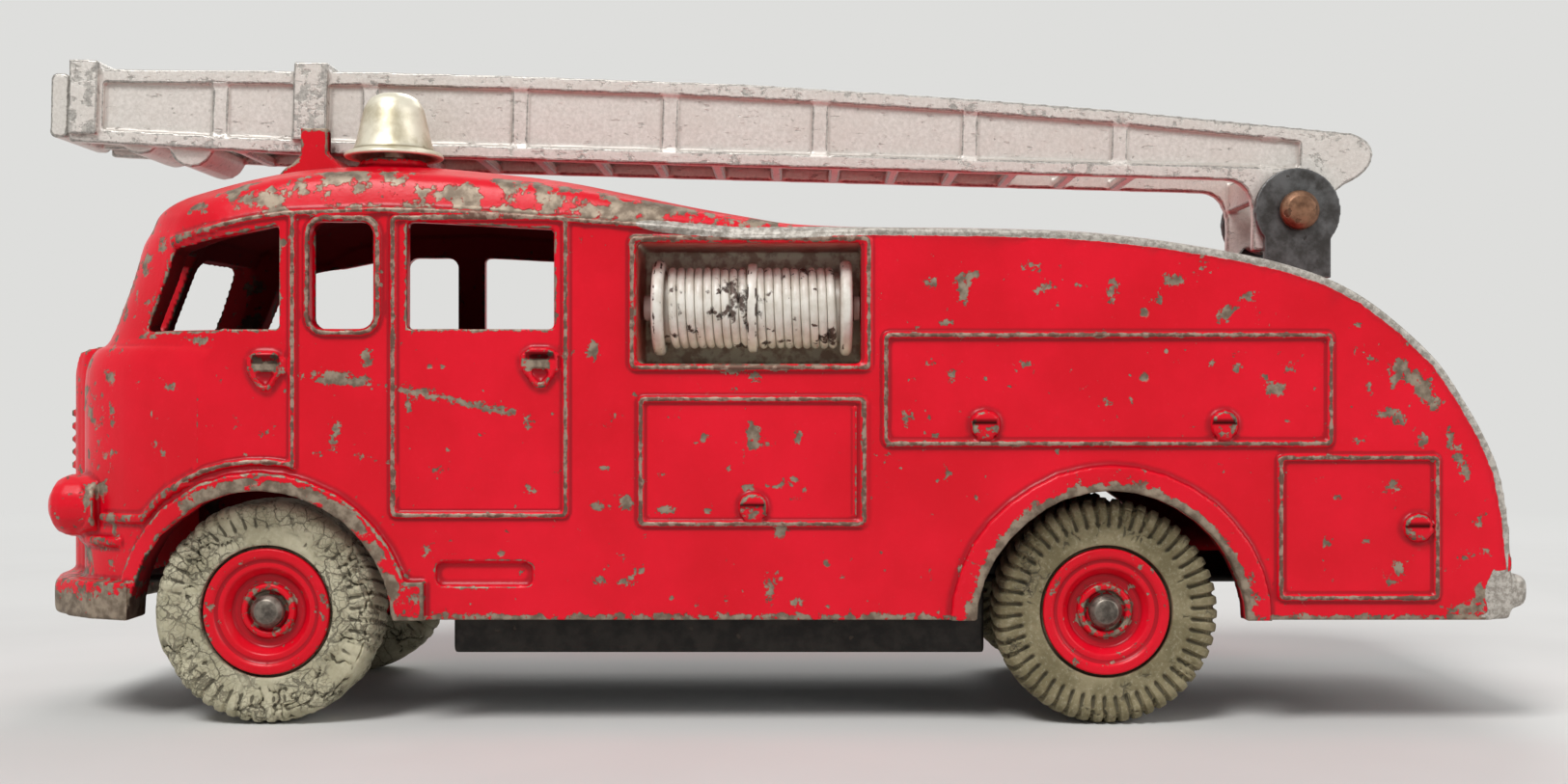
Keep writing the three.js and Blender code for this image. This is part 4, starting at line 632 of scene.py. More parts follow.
# Each row holds shares of body length, body height, nose wrap and roof drop, from nose to tail
STATION_SHARES = (
    (0, 0.498, 1, 0.11), (0.002, 0.544, 0.993, 0.11), (0.008, 0.579, 0.98, 0.11), (0.018, 0.6, 0.947, 0.1),
    (0.026, 0.66, 0.893, 0.1), (0.035, 0.729, 0.833, 0.1), (0.044, 0.81, 0.76, 0.1),
    (0.051, 0.847, 0.707, 0.15), (0.058, 0.887, 0.65, 0.35), (0.075, 0.921, 0.533, 0.59),
    (0.104, 0.949, 0.36, 0.76), (0.134, 0.972, 0.193, 0.89), (0.168, 0.991, 0.067, 0.96),
    (0.209, 1, 0, 1), (0.253, 0.998, 0, 0.98), (0.297, 0.986, 0, 0.93),
    (0.351, 0.965, 0, 0.87), (0.4, 0.933, 0, 0.69), (0.444, 0.903, 0, 0.56), (0.481, 0.88, 0, 0.44),
    (0.51, 0.861, 0, 0.28), (0.54, 0.85, 0, 0.15), (0.569, 0.845, 0, 0.09), (0.635, 0.843, 0, 0.09),
    (0.694, 0.838, 0, 0.09), (0.731, 0.829, 0, 0.09), (0.767, 0.815, 0, 0.09), (0.811, 0.792, 0, 0.09),
    (0.844, 0.769, 0, 0.09), (0.874, 0.738, 0, 0.09), (0.899, 0.697, 0, 0.09), (0.925, 0.634, 0, 0.09),
    (0.949, 0.56, 0, 0.09), (0.965, 0.486, 0, 0.09), (0.979, 0.41, 0, 0.09), (0.99, 0.329, 0, 0.09),
    (0.996, 0.231, 0, 0.09), (1, 0.104, 0, 0.09),
)
SKIN_REACH = 1.05
SKIN_FADE = 1.45


def loft_points():
    """The faceted form's top points, as rows from nose to tail by columns from left to right."""
    shares = np.array([-share for share in ACROSS_SHARES[:0:-1]] + list(ACROSS_SHARES))
    reach = np.abs(shares)
    length, height, wrap, drop = [column[:, None] for column in np.array(STATION_SHARES).T]
    x = FRONT_X + (REAR_X - FRONT_X) * length + NOSE_WRAP * wrap * reach ** NOSE_CURVE_POWER
    y = np.broadcast_to(BODY_HALF_WIDTH * shares, x.shape)
    fall = 1 - (1 - reach ** ROOF_CURVE_POWER) ** (1 / ROOF_CURVE_POWER)
    z = SILL_Z + (ROOF_TOP_Z - SILL_Z) * height - ROOF_DROP * drop * fall
    return np.stack([x, y, z], -1)


def curve_shares(part):
    """How much each of four neighbouring points counts at a part of the way from the second to the third."""
    square, cube = part ** 2, part ** 3
    return (-0.5 * part + square - 0.5 * cube, 1 - 2.5 * square + 1.5 * cube,
            0.5 * part + 2 * square - 1.5 * cube, -0.5 * square + 0.5 * cube)


def smooth_form(points, row, column):
    """The place on the smooth surface through the points, at each row and column, whole or between."""
    rows, columns = points.shape[:2]
    row_start = np.clip(np.floor(row).astype(int), 0, rows - 2)
    column_start = np.clip(np.floor(column).astype(int), 0, columns - 2)
    row_shares = curve_shares(row - row_start)
    column_shares = curve_shares(column - column_start)
    total = np.zeros((len(row), 3))
    for i in range(4):
        at_row = np.clip(row_start + i - 1, 0, rows - 1)
        for j in range(4):
            at_column = np.clip(column_start + j - 1, 0, columns - 1)
            total += (row_shares[i] * column_shares[j])[:, None] * points[at_row, at_column]
    return total


def without_facets(places):
    """Moves the skin of the body from the faceted form to the smooth one, and leaves the inside."""
    points = loft_points()
    rows, columns = points.shape[:2]
    row_of, column_of = [part.ravel() for part in np.mgrid[0:rows, 0:columns]]
    top = points.reshape(-1, 3)
    low = top.copy()
    low[:, 2] = SILL_Z
    corners = np.vstack([top, low])
    tops = np.vstack([top, top])
    grid = np.column_stack([np.tile(row_of, 2), np.tile(column_of, 2), np.repeat([1.0, 0.0], len(top))])
    faces = []

    def quad(a, b, c, d):
        faces.extend([(a, b, c), (a, c, d)])

    below = len(top)
    for row in range(rows - 1):
        for column in range(columns - 1):
            here = row * columns + column
            quad(here, here + columns, here + columns + 1, here + 1)
        for here in (row * columns, row * columns + columns - 1):
            quad(here + below, here + columns + below, here + columns, here)
    for start in (0, (rows - 1) * columns):
        for here in range(start, start + columns - 1):
            quad(here + 1 + below, here + below, here, here + 1)
    tree = BVHTree.FromPolygons(corners.tolist(), faces)
    skin = places / MM
    near = [tree.find_nearest(Vector(place), SKIN_FADE) for place in skin.tolist()]
    found = np.array([index for index, hit in enumerate(near) if hit[0] is not None])
    spots = np.array([near[index][0] for index in found])
    face = np.array(faces)[[near[index][2] for index in found]]
    away = np.array([near[index][3] for index in found])
    a, b, c = [corners[face[:, side]] for side in range(3)]
    one, two, spot = b - a, c - a, spots - a
    d11, d12, d22 = [(p * q).sum(1) for p, q in ((one, one), (one, two), (two, two))]
    d1, d2 = (spot * one).sum(1), (spot * two).sum(1)
    size = np.maximum(d11 * d22 - d12 ** 2, 1e-12)
    second, third = (d22 * d1 - d12 * d2) / size, (d11 * d2 - d12 * d1) / size
    weights = np.column_stack([1 - second - third, second, third])
    at = (weights[:, :, None] * grid[face]).sum(1)
    flat_top = (weights[:, :, None] * tops[face]).sum(1)
    shift = smooth_form(points, at[:, 0], at[:, 1]) - flat_top
    shift[:, 2] *= at[:, 2]
    skin[found] += shift * (1 - step_up(away, SKIN_REACH, SKIN_FADE))[:, None]
    return skin * MM


def within(value, low, high):
    return (value > low) & (value < high)


# Body: the raised lines and fittings of its flanks, by their places along it and up it

AXLE_X = {"front": -45.8, "rear": 32.6}
ARCH_Z = 9.5
FRONT_MOULDING_RADIUS = 15.1
LINE_CORNER = 0.3
KNOBS = ((-0.35, 20.4), (21, 28), (43, 28), (60.8, 18.5))
KNOB_REACH = 1.15
HANDLES = ((-45.1, 33.3), (-19.9, 33.6))
# What lies on a handle's middle: reaches along and up
HANDLE_PLATE = ((-1.7, 1.7), (-2.3, 1.5))
HANDLE_BAR = ((-0.9, 0.9), (-0.42, 0.42))
HANDLE_SLOT = ((-1.3, 1.3), (0.3, 1.1))
# The edge between flank and deck: where it starts, is fully raised, and ends
EDGE_FROM_X = -14
EDGE_FULL_X = -8
EDGE_TO_X = 69.3
LIP_PROUD = 0.16
FAR = 99.0


def frame_line(from_x, to_x, from_z, to_z, corner=LINE_CORNER):
    """The middle of a raised frame: a closed line with round corners."""
    line = []
    corners = ((to_x - corner, to_z - corner), (from_x + corner, to_z - corner),
               (from_x + corner, from_z + corner), (to_x - corner, from_z + corner))
    for turn, (x, z) in enumerate(corners):
        for step in range(4):
            angle = (turn + step / 3) * math.pi / 2
            line.append((x + corner * math.cos(angle), z + corner * math.sin(angle)))
    return line + line[:1]


BODY_LINES = (
    [(FRONT_X + (REAR_X - FRONT_X) * length, SILL_Z + (ROOF_TOP_Z - SILL_Z) * height) for length, height in (
        (0.086, 0.81), (0.12, 0.838), (0.145, 0.856), (0.171, 0.868), (0.236, 0.875), (0.291, 0.87),
        (0.341, 0.859), (0.391, 0.847), (0.433, 0.836), (0.466, 0.826))],
    [(-62.0, 19.2)] + [(AXLE_X["front"] + FRONT_MOULDING_RADIUS * math.cos(angle),
                        ARCH_Z + FRONT_MOULDING_RADIUS * math.sin(angle))
                       for angle in np.linspace(2.444, 1.364, 9)],
    [(-42.7, 24.0), (-42.7, 47.3)],
    [(-67.0, 16.95), (-59.9, 16.95)],
    frame_line(-41.35, -34.85, WINDOW_SILL_Z - 0.35, 47.05, 1.55),
    frame_line(-33.45, -17.55, 19.65, 47.05),
    frame_line(-11.45, 10.35, 33.25, 45.15),
    frame_line(-10.65, 9.95, 18.85, 30.35),
    frame_line(11.95, 52.85, 26.25, 36.25),
    frame_line(48.25, 62.65, 12.05, 24.95),
)


def least_distance(x, z, from_x, from_z, to_x, to_z):
    """How far the places are from the straight line between two points."""
    run_x, run_z = to_x - from_x, to_z - from_z
    part = np.clip(((x - from_x) * run_x + (z - from_z) * run_z) / (run_x ** 2 + run_z ** 2), 0, 1)
    return np.hypot(x - from_x - part * run_x, z - from_z - part * run_z)


def line_distance(x, z, line):
    """How far the places are from a line of points, seen from the side."""
    apart = np.full(len(x), FAR)
    for start, end in zip(line[:-1], line[1:]):
        apart = np.minimum(apart, least_distance(x, z, *start, *end))
    return apart


def bead_distance(x, side, z):
    """How far the places on the flanks are from the middle of the nearest raised line."""
    apart = np.full(len(x), FAR)
    near = np.flatnonzero(within(side, 19.7, 20.65))
    for line in BODY_LINES:
        apart[near] = np.minimum(apart[near], line_distance(x[near], z[near], line))
    return apart


def edge_distance(x, z):
    """How far the places are from the edge where the flank meets the roof and deck, seen from the side."""
    return line_distance(x, z, loft_points()[:, -1, ::2])


def slim_beads(places):
    """Draws in the skirts of the flank's raised lines, and raises a lip along the deck's edge."""
    x, y, z = places.T / MM
    side = np.abs(y)
    height = side - BODY_HALF_WIDTH
    apart = bead_distance(x, side, z)
    on_line = (apart < 0.7) & within(height, 0, 0.55)
    height = np.where(on_line, height * (1 - step_up(apart, 0.12, 0.42)), height)
    on_edge = within(x, EDGE_FROM_X, EDGE_TO_X) & (side > 19.5)
    lip = LIP_PROUD * step_up(x, EDGE_FROM_X, EDGE_FULL_X) * (1 - step_up(edge_distance(x, z), 0.4, 0.65))
    places[:, 1] = np.sign(y) * (BODY_HALF_WIDTH + height + np.where(on_edge, lip, 0)) * MM
    return places


def bumper_ends(places):
    """1 on both bumpers, and less where they meet the body."""
    x, y, z = places.T / MM
    front = step_up(-x, 65.2, 66.4) * step_up(z, 13.9, 13.3)
    rear = np.maximum(step_up(x, 69.5, 70), step_up(x, 67.6, 68.4) * (np.abs(y) > 19)) * (z < 14.6)
    return np.maximum(front, rear)


# Body: wear and painted shade. Boxes are reaches along, across and up one side

SHOULDER = ((-62, 2), (13, FAR), (43, FAR))
NOSE = ((-FAR, -59), (-FAR, FAR), (13.5, 36))
LAMPS = ((-FAR, -63.5), (8, 19), (17.5, 24))
PILLARS = ((-FAR, -55), (12, FAR), (36, 49))
FRONT_BUMPER = ((-FAR, -56), (-FAR, FAR), (-FAR, 13.5))
STEP_BLOCK = ((-33.5, -30.3), (20.3, FAR), (-FAR, 13.6))
FRONT_FLARE = ((-FAR, FAR), (20.5, FAR), (10.2, FAR))
CAB_INSIDE = ((-64, -12), (-FAR, 18.9), (30, FAR))
CAB_MIDDLE_X = -38
CAB_MIDDLE_Z = 36
FLARE_RADIUS = 12.0
FRONT_FLARE_REACH = 14.5
REAR_FLARE_REACH = 15.0
WELL_RADIUS = 12.5
FITTING_SIDE = 20.2
# The right flank has the left one's chips turned end for end about this place
CHIP_TURN_X = 1.5


def in_box(x, side, z, box):
    return within(x, *box[0]) & within(side, *box[1]) & within(z, *box[2])


def over(x, z, place, reaches):
    """Which places of the flank lie over a fitting's reaches along and up from its middle."""
    return within(x - place[0], *reaches[0]) & within(z - place[1], *reaches[1])


def on_knob(x, side, z, knob):
    return (np.hypot(x - knob[0], z - knob[1]) < KNOB_REACH) & (side > FITTING_SIDE)


def on_rear_bumper(x, side, z, slack):
    """Which places lie on the rear bumper: its ends, that reach forward by the slack, and its face."""
    ends_or_face = (x > 67.5 - slack) & (side > 19.2) | (x > 69.3 + slack)
    return ends_or_face & (z < 14.4 + slack)


def chipped_flanks(x, side, z):
    """0 away from the chips and scratches of the flanks, 0.5 at their rims and up to 1 inside, per mm."""
    apart = np.full(len(x), FAR)
    for chip_x, chip_z, half_length, half_height in FLANK_CHIPS:
        offset = np.hypot((x - chip_x) / half_length, (z - chip_z) / half_height)
        apart = np.minimum(apart, (offset - 1) * min(half_length, half_height) - CHIP_SPREAD)
    for from_x, from_z, to_x, to_z, half_width in FLANK_SCRATCHES:
        apart = np.minimum(apart, least_distance(x, z, from_x, from_z, to_x, to_z) - half_width)
    return np.where(side > 18.5, np.clip(0.5 - apart, 0, 1), 0)


def rubbed(x, side, z, bend, rear_reach):
    """How far handling has rubbed the paint, from 0.3 where it is whole to 1 where it is gone."""
    rub = 0.3 + 0.3 * step_up(bend, 0.7, 2.6)
    for handle in HANDLES:
        rub = np.where(over(x, z, handle, HANDLE_PLATE) & (side > 20.36), 0.5, rub)
        rub = np.where(over(x, z, handle, HANDLE_BAR) & (side > FITTING_SIDE), 0.9, rub)
    rear_flare = within(rear_reach, FLARE_RADIUS, REAR_FLARE_REACH) & (side > 20.05)
    rub = np.where(rear_flare, 0.85 - 0.5 * step_up(rear_reach, 12.6, 13.4), rub)
    rub = np.where((z < 11) & (side > 19.3), np.maximum(rub, 0.6 * step_up(z, 11.0, 10.3)), rub)
    rub = np.where(in_box(x, side, z, FRONT_BUMPER), 0.5 + 0.3 * step_up(z, 12.6, 10.8), rub)
    rub = np.where(in_box(x, side, z, STEP_BLOCK), 0.42 + 0.45 * step_up(bend, 0.5, 1.6), rub)
    rub = np.where(on_rear_bumper(x, side, z, -0.1), 1.0, rub)
    for knob in KNOBS:
        rub = np.where(on_knob(x, side, z, knob) & (z < knob[1]), 0.5, rub)
    return rub


def blotched(x, side, z, forward, upward, front_reach):
    """How widely the paint is lost in blotches, from 0 where it isn't to about 0.6 where little is left."""
    front_flare = within(front_reach, FLARE_RADIUS, FRONT_FLARE_REACH) & in_box(x, side, z, FRONT_FLARE)
    blotch = np.where(front_flare, 0.62 - 0.4 * step_up(front_reach, 13.4, 13.9), 0)
    deck_and_tail = ((upward > 0.3) & (x > -10) | (x > 60) & (forward > 0.5)) & (side < 19.4) & (z > 14.5)
    blotch = np.where(deck_and_tail, 0.3 + 0.1 * step_up(x, 50, 62), blotch)
    rounding = step_up(side, 16.4, 18.0) * step_up(upward, 0.08, 0.3)
    shoulder = np.maximum(blotch, (0.5 + 0.08 * step_up(x, -30, -12)) * rounding)
    blotch = np.where(in_box(x, side, z, SHOULDER), shoulder, blotch)
    nose = (0.31 + 0.13 * step_up(side, 9, 13)) * step_up(-x, 59, 61)
    blotch = np.where(in_box(x, side, z, NOSE), nose, blotch)
    blotch = np.where(in_box(x, side, z, LAMPS), 0.28, blotch)
    return np.where(in_box(x, side, z, PILLARS), np.maximum(blotch, 0.42), blotch)


def darkened(x, y, z, normals, arch_reach):
    """How dark the places are painted to stand for shade: the slots of knobs and handles, the cab's inside and
    the wheels' wells.
    """
    side = np.abs(y)
    forward, sideways, upward = normals.T
    painted_shade = np.zeros(len(x))
    for knob in KNOBS:
        slot = 1 - step_up(np.abs(z - knob[1] - 0.2), 0.1, 0.34)
        painted_shade = np.where(on_knob(x, side, z, knob), slot, painted_shade)
    for handle in HANDLES:
        painted_shade = np.where(over(x, z, handle, HANDLE_SLOT) & (side > 19.5), 0.8, painted_shade)
    inner_walls = (np.sign(y) * sideways < -0.3) & (side < 19.2) & (z > 14)
    facing_in = (x - CAB_MIDDLE_X) * forward + y * sideways + (z - CAB_MIDDLE_Z) * upward < -1
    wells = (arch_reach < WELL_RADIUS) & (side < 19.4)
    return np.where(inner_walls | facing_in & in_box(x, side, z, CAB_INSIDE) | wells, 0.85, painted_shade)


def body_wear_and_shade(mesh, bend):
    """Stores where the body's paint is chipped or rubbed and where shade is painted, and returns the places in
    need of detail.
    """
    x, y, z = (array_of(mesh) / MM).T
    side = np.abs(y)
    normals = point_normals(mesh)
    front_reach, rear_reach = [np.hypot(x - AXLE_X[end], z - ARCH_Z) for end in ENDS]
    chip = chipped_flanks(np.where(y < 0, x, 2 * CHIP_TURN_X - x), side, z)
    bead = bead_distance(x, side, z)
    edge = edge_distance(x, z)
    on_edge = within(x, EDGE_FROM_X, EDGE_TO_X) & (side > 19) & (edge < 1)
    rim = np.where(on_edge, (1 - edge) * step_up(x, EDGE_FROM_X, EDGE_FULL_X), 0)
    store_shares(mesh, "rub", rubbed(x, side, z, bend, rear_reach))
    store_shares(mesh, "blotch", blotched(x, side, z, normals[:, 0], normals[:, 2], front_reach))
    store_shares(mesh, "chip", chip)
    # Painted shade in the slots, inside the cab and in the wheel wells.
    store_shares(mesh, "painted_shade", darkened(x, y, z, normals, np.minimum(front_reach, rear_reach)))
    store_shares(mesh, "bead", np.clip(1 - bead, 0, 1))
    store_shares(mesh, "rim", np.where(on_rear_bumper(x, side, z, 0.1), 1, rim))
    return (chip > 0) | (on_edge & (edge < 0.8)) | (bead < 0.5)


body_mesh = recast("body_casting", 0.25, without_facets, slim_beads, bumper_ends, body_wear_and_shade)
dressed("body_casting", body_mesh, RED_BODY)


# Ladder sections, in a frame of their own that starts at the pivot and tilts with the ladder

PIVOT = (53.7, 0, 49.2)
LADDER_TILT = math.radians(1.6)
RAIL_FRONT_X = -123.3
RAIL_LENGTH = 128.8
RAIL_LOW_Z = 3.1
RAIL_HEIGHT = 8.4
RAIL_FLANGE = 1.35
RAIL_OUTER_Y = 5.8
# The rail's lower edge rises by this share of the way that it runs past the strap
RAIL_RISE_SHARE = 0.0267
RAIL_STRAP_X = -100.8
# Places along the rail and its height there
RAIL_TOP_SHARES = ((0, 0.94), (0.23, 1), (0.345, 1), (0.533, 0.976), (0.7, 0.88), (0.81, 0.798), (1, 0.595))
PANEL_FLOOR_Y = 5.3
RIB_FIRST_X = -108.3
RIB_PITCH = 15.1
RIB_COUNT = 8
RIB_HALF_WIDTH = 0.9
RIB_SKIRT_HALF_WIDTH = 1.5
RIB_LOWERED_SHARE = 0.6
PANEL_SOFT_EDGE = (-0.25, 0.35)
STRAP_PROUD = 0.2


def lowered_ribs(places):
    """Lowers the ribs between the ladder's panels, and the last one to the panels' floor."""
    x, y, z = (places / MM).T
    along = (x - PIVOT[0]) * math.cos(LADDER_TILT) - (z - PIVOT[2]) * math.sin(LADDER_TILT)
    up = (x - PIVOT[0]) * math.sin(LADDER_TILT) + (z - PIVOT[2]) * math.cos(LADDER_TILT)
    low = RAIL_LOW_Z + RAIL_RISE_SHARE * np.maximum(RAIL_STRAP_X - along, 0) + RAIL_FLANGE
    lengths, heights = np.array(RAIL_TOP_SHARES).T
    height = RAIL_HEIGHT * np.interp(along, RAIL_FRONT_X + RAIL_LENGTH * lengths, heights)
    high = RAIL_LOW_Z + height - RAIL_FLANGE
    side = np.abs(y)
    amount = step_up(up - low, *PANEL_SOFT_EDGE) * step_up(high - up, *PANEL_SOFT_EDGE)
    share = np.zeros(len(x))
    for index in range(RIB_COUNT):
        apart = np.abs(along - RIB_FIRST_X - RIB_PITCH * index)
        on_rib = 1 - step_up(apart, RIB_HALF_WIDTH, RIB_SKIRT_HALF_WIDTH)
        share = np.maximum(share, on_rib * (1.0 if index == RIB_COUNT - 1 else RIB_LOWERED_SHARE))
    on_rail = within(side, PANEL_FLOOR_Y, RAIL_OUTER_Y + 0.1)
    lowered = side - (side - PANEL_FLOOR_Y) * share * amount
    places[:, 1] = np.sign(y) * np.where(on_rail, lowered, side) * MM
    return places


def wear_ladder(mesh, _):
    """Stores how likely the ladder's paint is rubbed: most on its straps, then on its rails and rims."""
    side = np.abs(array_of(mesh)[:, 1] / MM)
    raised = 0.3 + 0.13 * step_up(side, PANEL_FLOOR_Y + 0.15, RAIL_OUTER_Y - 0.1)
    store_shares(mesh, "rub", np.where(side > RAIL_OUTER_Y + STRAP_PROUD, 0.52, raised))
    return np.zeros(len(side), bool)


for node, body, form in (("ladder_main_section", "ladder_main", lowered_ribs),
                         ("ladder_sliding_section", "ladder_slide", None)):
    dressed(node, recast(node, 0.17, form=form, wear=wear_ladder), SILVER, body)


# Pressed plates and rivets

for node, grid, finish in (
        ("baseplate", 0.36, TIN_SHADED), ("ladder_bracket", 0.14, TIN), ("baseplate_rivet_front", 0.12, STEEL),
        ("baseplate_rivet_rear", 0.12, STEEL), ("bracket_rivet", 0.12, STEEL)):
    dressed(node, recast(node, grid), finish)


# Wheels

WHEEL_Y = 15.6
AXLE_Z = 10.5
TYRE_RADIUS = 10.5
TYRE_BEAD_RADIUS = 6.2
HUB_HALF_WIDTH = 2.5
HUB_BORE = 1.25
RIM_RADIUS = 5.4
RIM_LIP_RADIUS = 5.9
TREAD_RIBS = 50
TREAD_DEPTH = 0.42
TREAD_MIDDLE_RADIUS = 8.4
CRACK_DEPTH = 0.32
HUB_LINE = (
    (HUB_BORE, -HUB_HALF_WIDTH), (RIM_RADIUS, -HUB_HALF_WIDTH), (RIM_RADIUS, 1.8), (RIM_LIP_RADIUS, 1.8),
    (RIM_LIP_RADIUS, HUB_HALF_WIDTH), (5.1, HUB_HALF_WIDTH), (4.75, 2.15), (4.1, 2.25), (3.4, 1.3),
    (2.6, 1.25), (2.5, 1.85), (1.95, 1.85), (1.9, 1.3), (HUB_BORE, 1.3),
)
TYRE_LINE = (
    (5.7, -2.5), (TYRE_BEAD_RADIUS, -2.62), (7.7, -2.6), (8.6, -2.95), (9.3, -3.15), (9.9, -2.95),
    (10.32, -2.4), (TYRE_RADIUS, -1.6), (TYRE_RADIUS, 1.6), (10.32, 2.4), (9.9, 2.95), (9.3, 3.15),
    (8.6, 2.95), (7.7, 2.6), (6.6, 2.55), (TYRE_BEAD_RADIUS, 2.5), (TYRE_BEAD_RADIUS, 1.5), (5.7, 1.5),
)
AXLE_HALF_LINE = (
    (0.95, 17.1), (1.55, 17.15), (1.6, 17.35), (1.5, 17.75), (1.1, 18.15), (0.55, 18.3), (0, 18.3),
)
# How far the rubber has sunk in lumps, how deep it has cracked, and above which lumps it has
TYRE_WEAR = {"front": (0.55, 0.9, -0.1), "rear": (0.16, 0.45, 0.15)}


def tyre_shape(end, seed):
    """Ribs across the tread and shoulders of the rear tyres; a worn, cracked and uneven front one."""
    sunk, cracked, sound_lump = TYRE_WEAR[end]

    def shape(angles, radius, along):
        middle = np.hypot(radius - TREAD_MIDDLE_RADIUS, along)
        slant = angles + 0.02 * along + 0.02 * np.sin(0.9 * radius)
        depth = TREAD_DEPTH * step_up(radius, 7.6, 8.2) * step_up(np.cos(TREAD_RIBS * slant), 0.0, 0.8)
        if end == "front":
            depth = depth * np.clip(0.35 + 0.35 * np.sin(3 * angles + seed), 0.0, 0.5)
        lump = np.empty_like(radius)
        split = np.empty_like(radius)
        for row, column in np.ndindex(radius.shape):
            turn, reach = float(angles[row, 0]), radius[row, column]
            spot = Vector((reach * math.cos(turn), reach * math.sin(turn), along[row, column] + 7 * seed))
            lump[row, column] = noise.noise(spot * 0.35)
            near = noise.voronoi((spot + noise.noise_vector(spot * 0.9) * 0.8) * 0.42)[0]
            split[row, column] = near[1] - near[0]
        outside = step_up(radius, 6.6, 7.6)
        off_ground = 1 - step_up(np.cos(angles + math.pi / 2), 0.86, 0.97) * np.ones_like(radius)
        crack = (1 - step_up(split, 0.02, 0.1)) * outside * cracked * CRACK_DEPTH
        patchy = step_up(lump, sound_lump, 0.25)
        depth = depth + crack * patchy + sunk * np.clip(lump, 0, 1) * outside * off_ground
        return radius + depth * ((TREAD_MIDDLE_RADIUS - radius) / middle), along + depth * (-along / middle)
    return shape


def both_ends(half_line):
    """A line of radii and places along the axis, with its mirror image before it."""
    return [(radius, -along) for radius, along in half_line[::-1]] + list(half_line)


for end in ENDS:
    for side_name, side in SIDES:
        centre = (AXLE_X[end], side * WHEEL_Y, AXLE_Z)
        body = f"wheel_{end}_{side_name}"
        hub_line = [(radius, side * along) for radius, along in HUB_LINE]
        hub = turned(softened(hub_line, 0.22, True), centre, "y", 96, True)
        hub_x, _, hub_z = (array_of(hub) / MM - np.array(centre)).T
        radius = np.hypot(hub_x, hub_z)
        store_shares(hub, "rub", np.select([radius < 2.75, radius > 5.0], [0.5, 0.36], 0.34))
        dressed(f"wheel_hub_{end}_{side_name}", hub, RED_HUB, body)
        tyre_line = [(radius, side * along) for radius, along in TYRE_LINE]
        tyre_line = filled(softened(tyre_line, 0.35, True, 2), 0.22, True)
        seed = 1.0 + 2 * ENDS.index(end) + (side + 1) / 2
        tyre = turned(tyre_line, centre, "y", TREAD_RIBS * (8), True, tyre_shape(end, seed))
        rubber = RUBBER_CRAZED if end == "front" else RUBBER_SOUND
        dressed(f"tyre_{end}_{side_name}", tyre, rubber, body)
    axle = turned(softened(both_ends(AXLE_HALF_LINE), 0.12), (AXLE_X[end], 0, AXLE_Z), "y", 48)
    dressed(f"{end}_axle", axle, STEEL, f"{end}_axle_body")


# Bell

BELL_PLACE = (-35.4, -11.5, 53.7)
BELL_LINE = (
    (0, -1.95), (0.88, -1.95), (0.88, 3.1), (2.35, 3.1), (2.7, 1.6), (3.7, 0.5), (4.0, 0.02), (4.68, 0.02),
    (4.75, 0.25), (4.55, 0.5), (3.95, 0.72), (3.75, 1.05), (3.55, 1.7), (3.2, 3.3), (2.85, 4.8), (2.3, 5.75),
    (1.4, 6.25), (0, 6.4),
)
dressed("bell", turned(softened(BELL_LINE, 0.3), BELL_PLACE, "z", 96), GOLD)


# Hose reels

REEL_Y = 15.2
REEL_Z = 39
REEL_FRONT_X = -9.8
REEL_REAR_X = 8.9
REEL_MIDDLE_X = (REEL_FRONT_X + REEL_REAR_X) / 2
FLANGE_THICKNESS = 1.1
HOSE_LOOPS = 19
HOSE_STEPS = 36
HOSE_FACETS = 12
HOSE_INSET = 0.45
HOSE_START_X = REEL_FRONT_X + FLANGE_THICKNESS + HOSE_INSET
HOSE_END_X = REEL_REAR_X - FLANGE_THICKNESS - HOSE_INSET
HOSE_RADIUS = 0.41
HOSE_COIL_RADIUS = 3.45
REEL_LINE = (
    (0, -10.75), (1.2, -10.75), (1.2, -9.9), (4.2, -9.8), (4.5, -9.55), (4.5, -8.95), (4.2, -8.7),
    (3.3, -8.7), (3.3, 7.8), (4.2, 7.8), (4.5, 8.05), (4.5, 8.65), (4.2, 8.9), (1.2, 8.95), (1.2, 9.65),
    (0, 9.65),
)
STRAP_LINE = ((3.5, -0.42), (4.16, -0.42), (4.22, -0.15), (4.22, 0.15), (4.16, 0.42), (3.5, 0.42))


def wound_hose(centre):
    """One unbroken tube that winds along the drum, fat enough for its loops to touch."""
    count = HOSE_LOOPS * HOSE_STEPS + 1
    share = np.arange(count) / (count - 1)
    angle = FULL_TURN * HOSE_LOOPS * share
    outward = np.column_stack([np.zeros(count), np.cos(angle), np.sin(angle)])
    line = HOSE_COIL_RADIUS * outward
    line[:, 0] = HOSE_START_X + (HOSE_END_X - HOSE_START_X) * share
    round_tube = FULL_TURN * np.arange(HOSE_FACETS) / HOSE_FACETS
    rings = (line[:, None] + HOSE_RADIUS * (np.cos(round_tube)[None, :, None] * outward[:, None]
             + np.sin(round_tube)[None, :, None] * np.array([1.0, 0, 0])))
    faces = quads(count, HOSE_FACETS, False, True)
    faces.append(tuple(range(HOSE_FACETS)))
    faces.append(tuple(range((count - 1) * HOSE_FACETS, count * HOSE_FACETS)))
    return smooth_closed(rings.reshape(-1, 3) + np.array(centre), faces, 50)


for side_name, side in SIDES:
    centre = (0, side * REEL_Y, REEL_Z)
    dressed(f"hose_reel_{side_name}", turned(softened(REEL_LINE, 0.2), centre, "x", 72), REEL)
    dressed(f"hose_winding_{side_name}", wound_hose(centre), REEL)
    middle = (REEL_MIDDLE_X, side * REEL_Y, REEL_Z)
    dressed(f"hose_strap_{side_name}", turned(softened(STRAP_LINE, 0.12, True), middle, "x", 72, True), REEL)


# Pivot pin

PIN_HALF_LINE = ((1.0, 7.3), (1.9, 7.35), (2.0, 7.6), (1.85, 8.0), (1.4, 8.35), (0.7, 8.5), (0, 8.5))
dressed("ladder_pivot_pin", turned(softened(both_ends(PIN_HALF_LINE), 0.15), PIVOT, "y", 48), BRONZE)


# Floor, light and camera

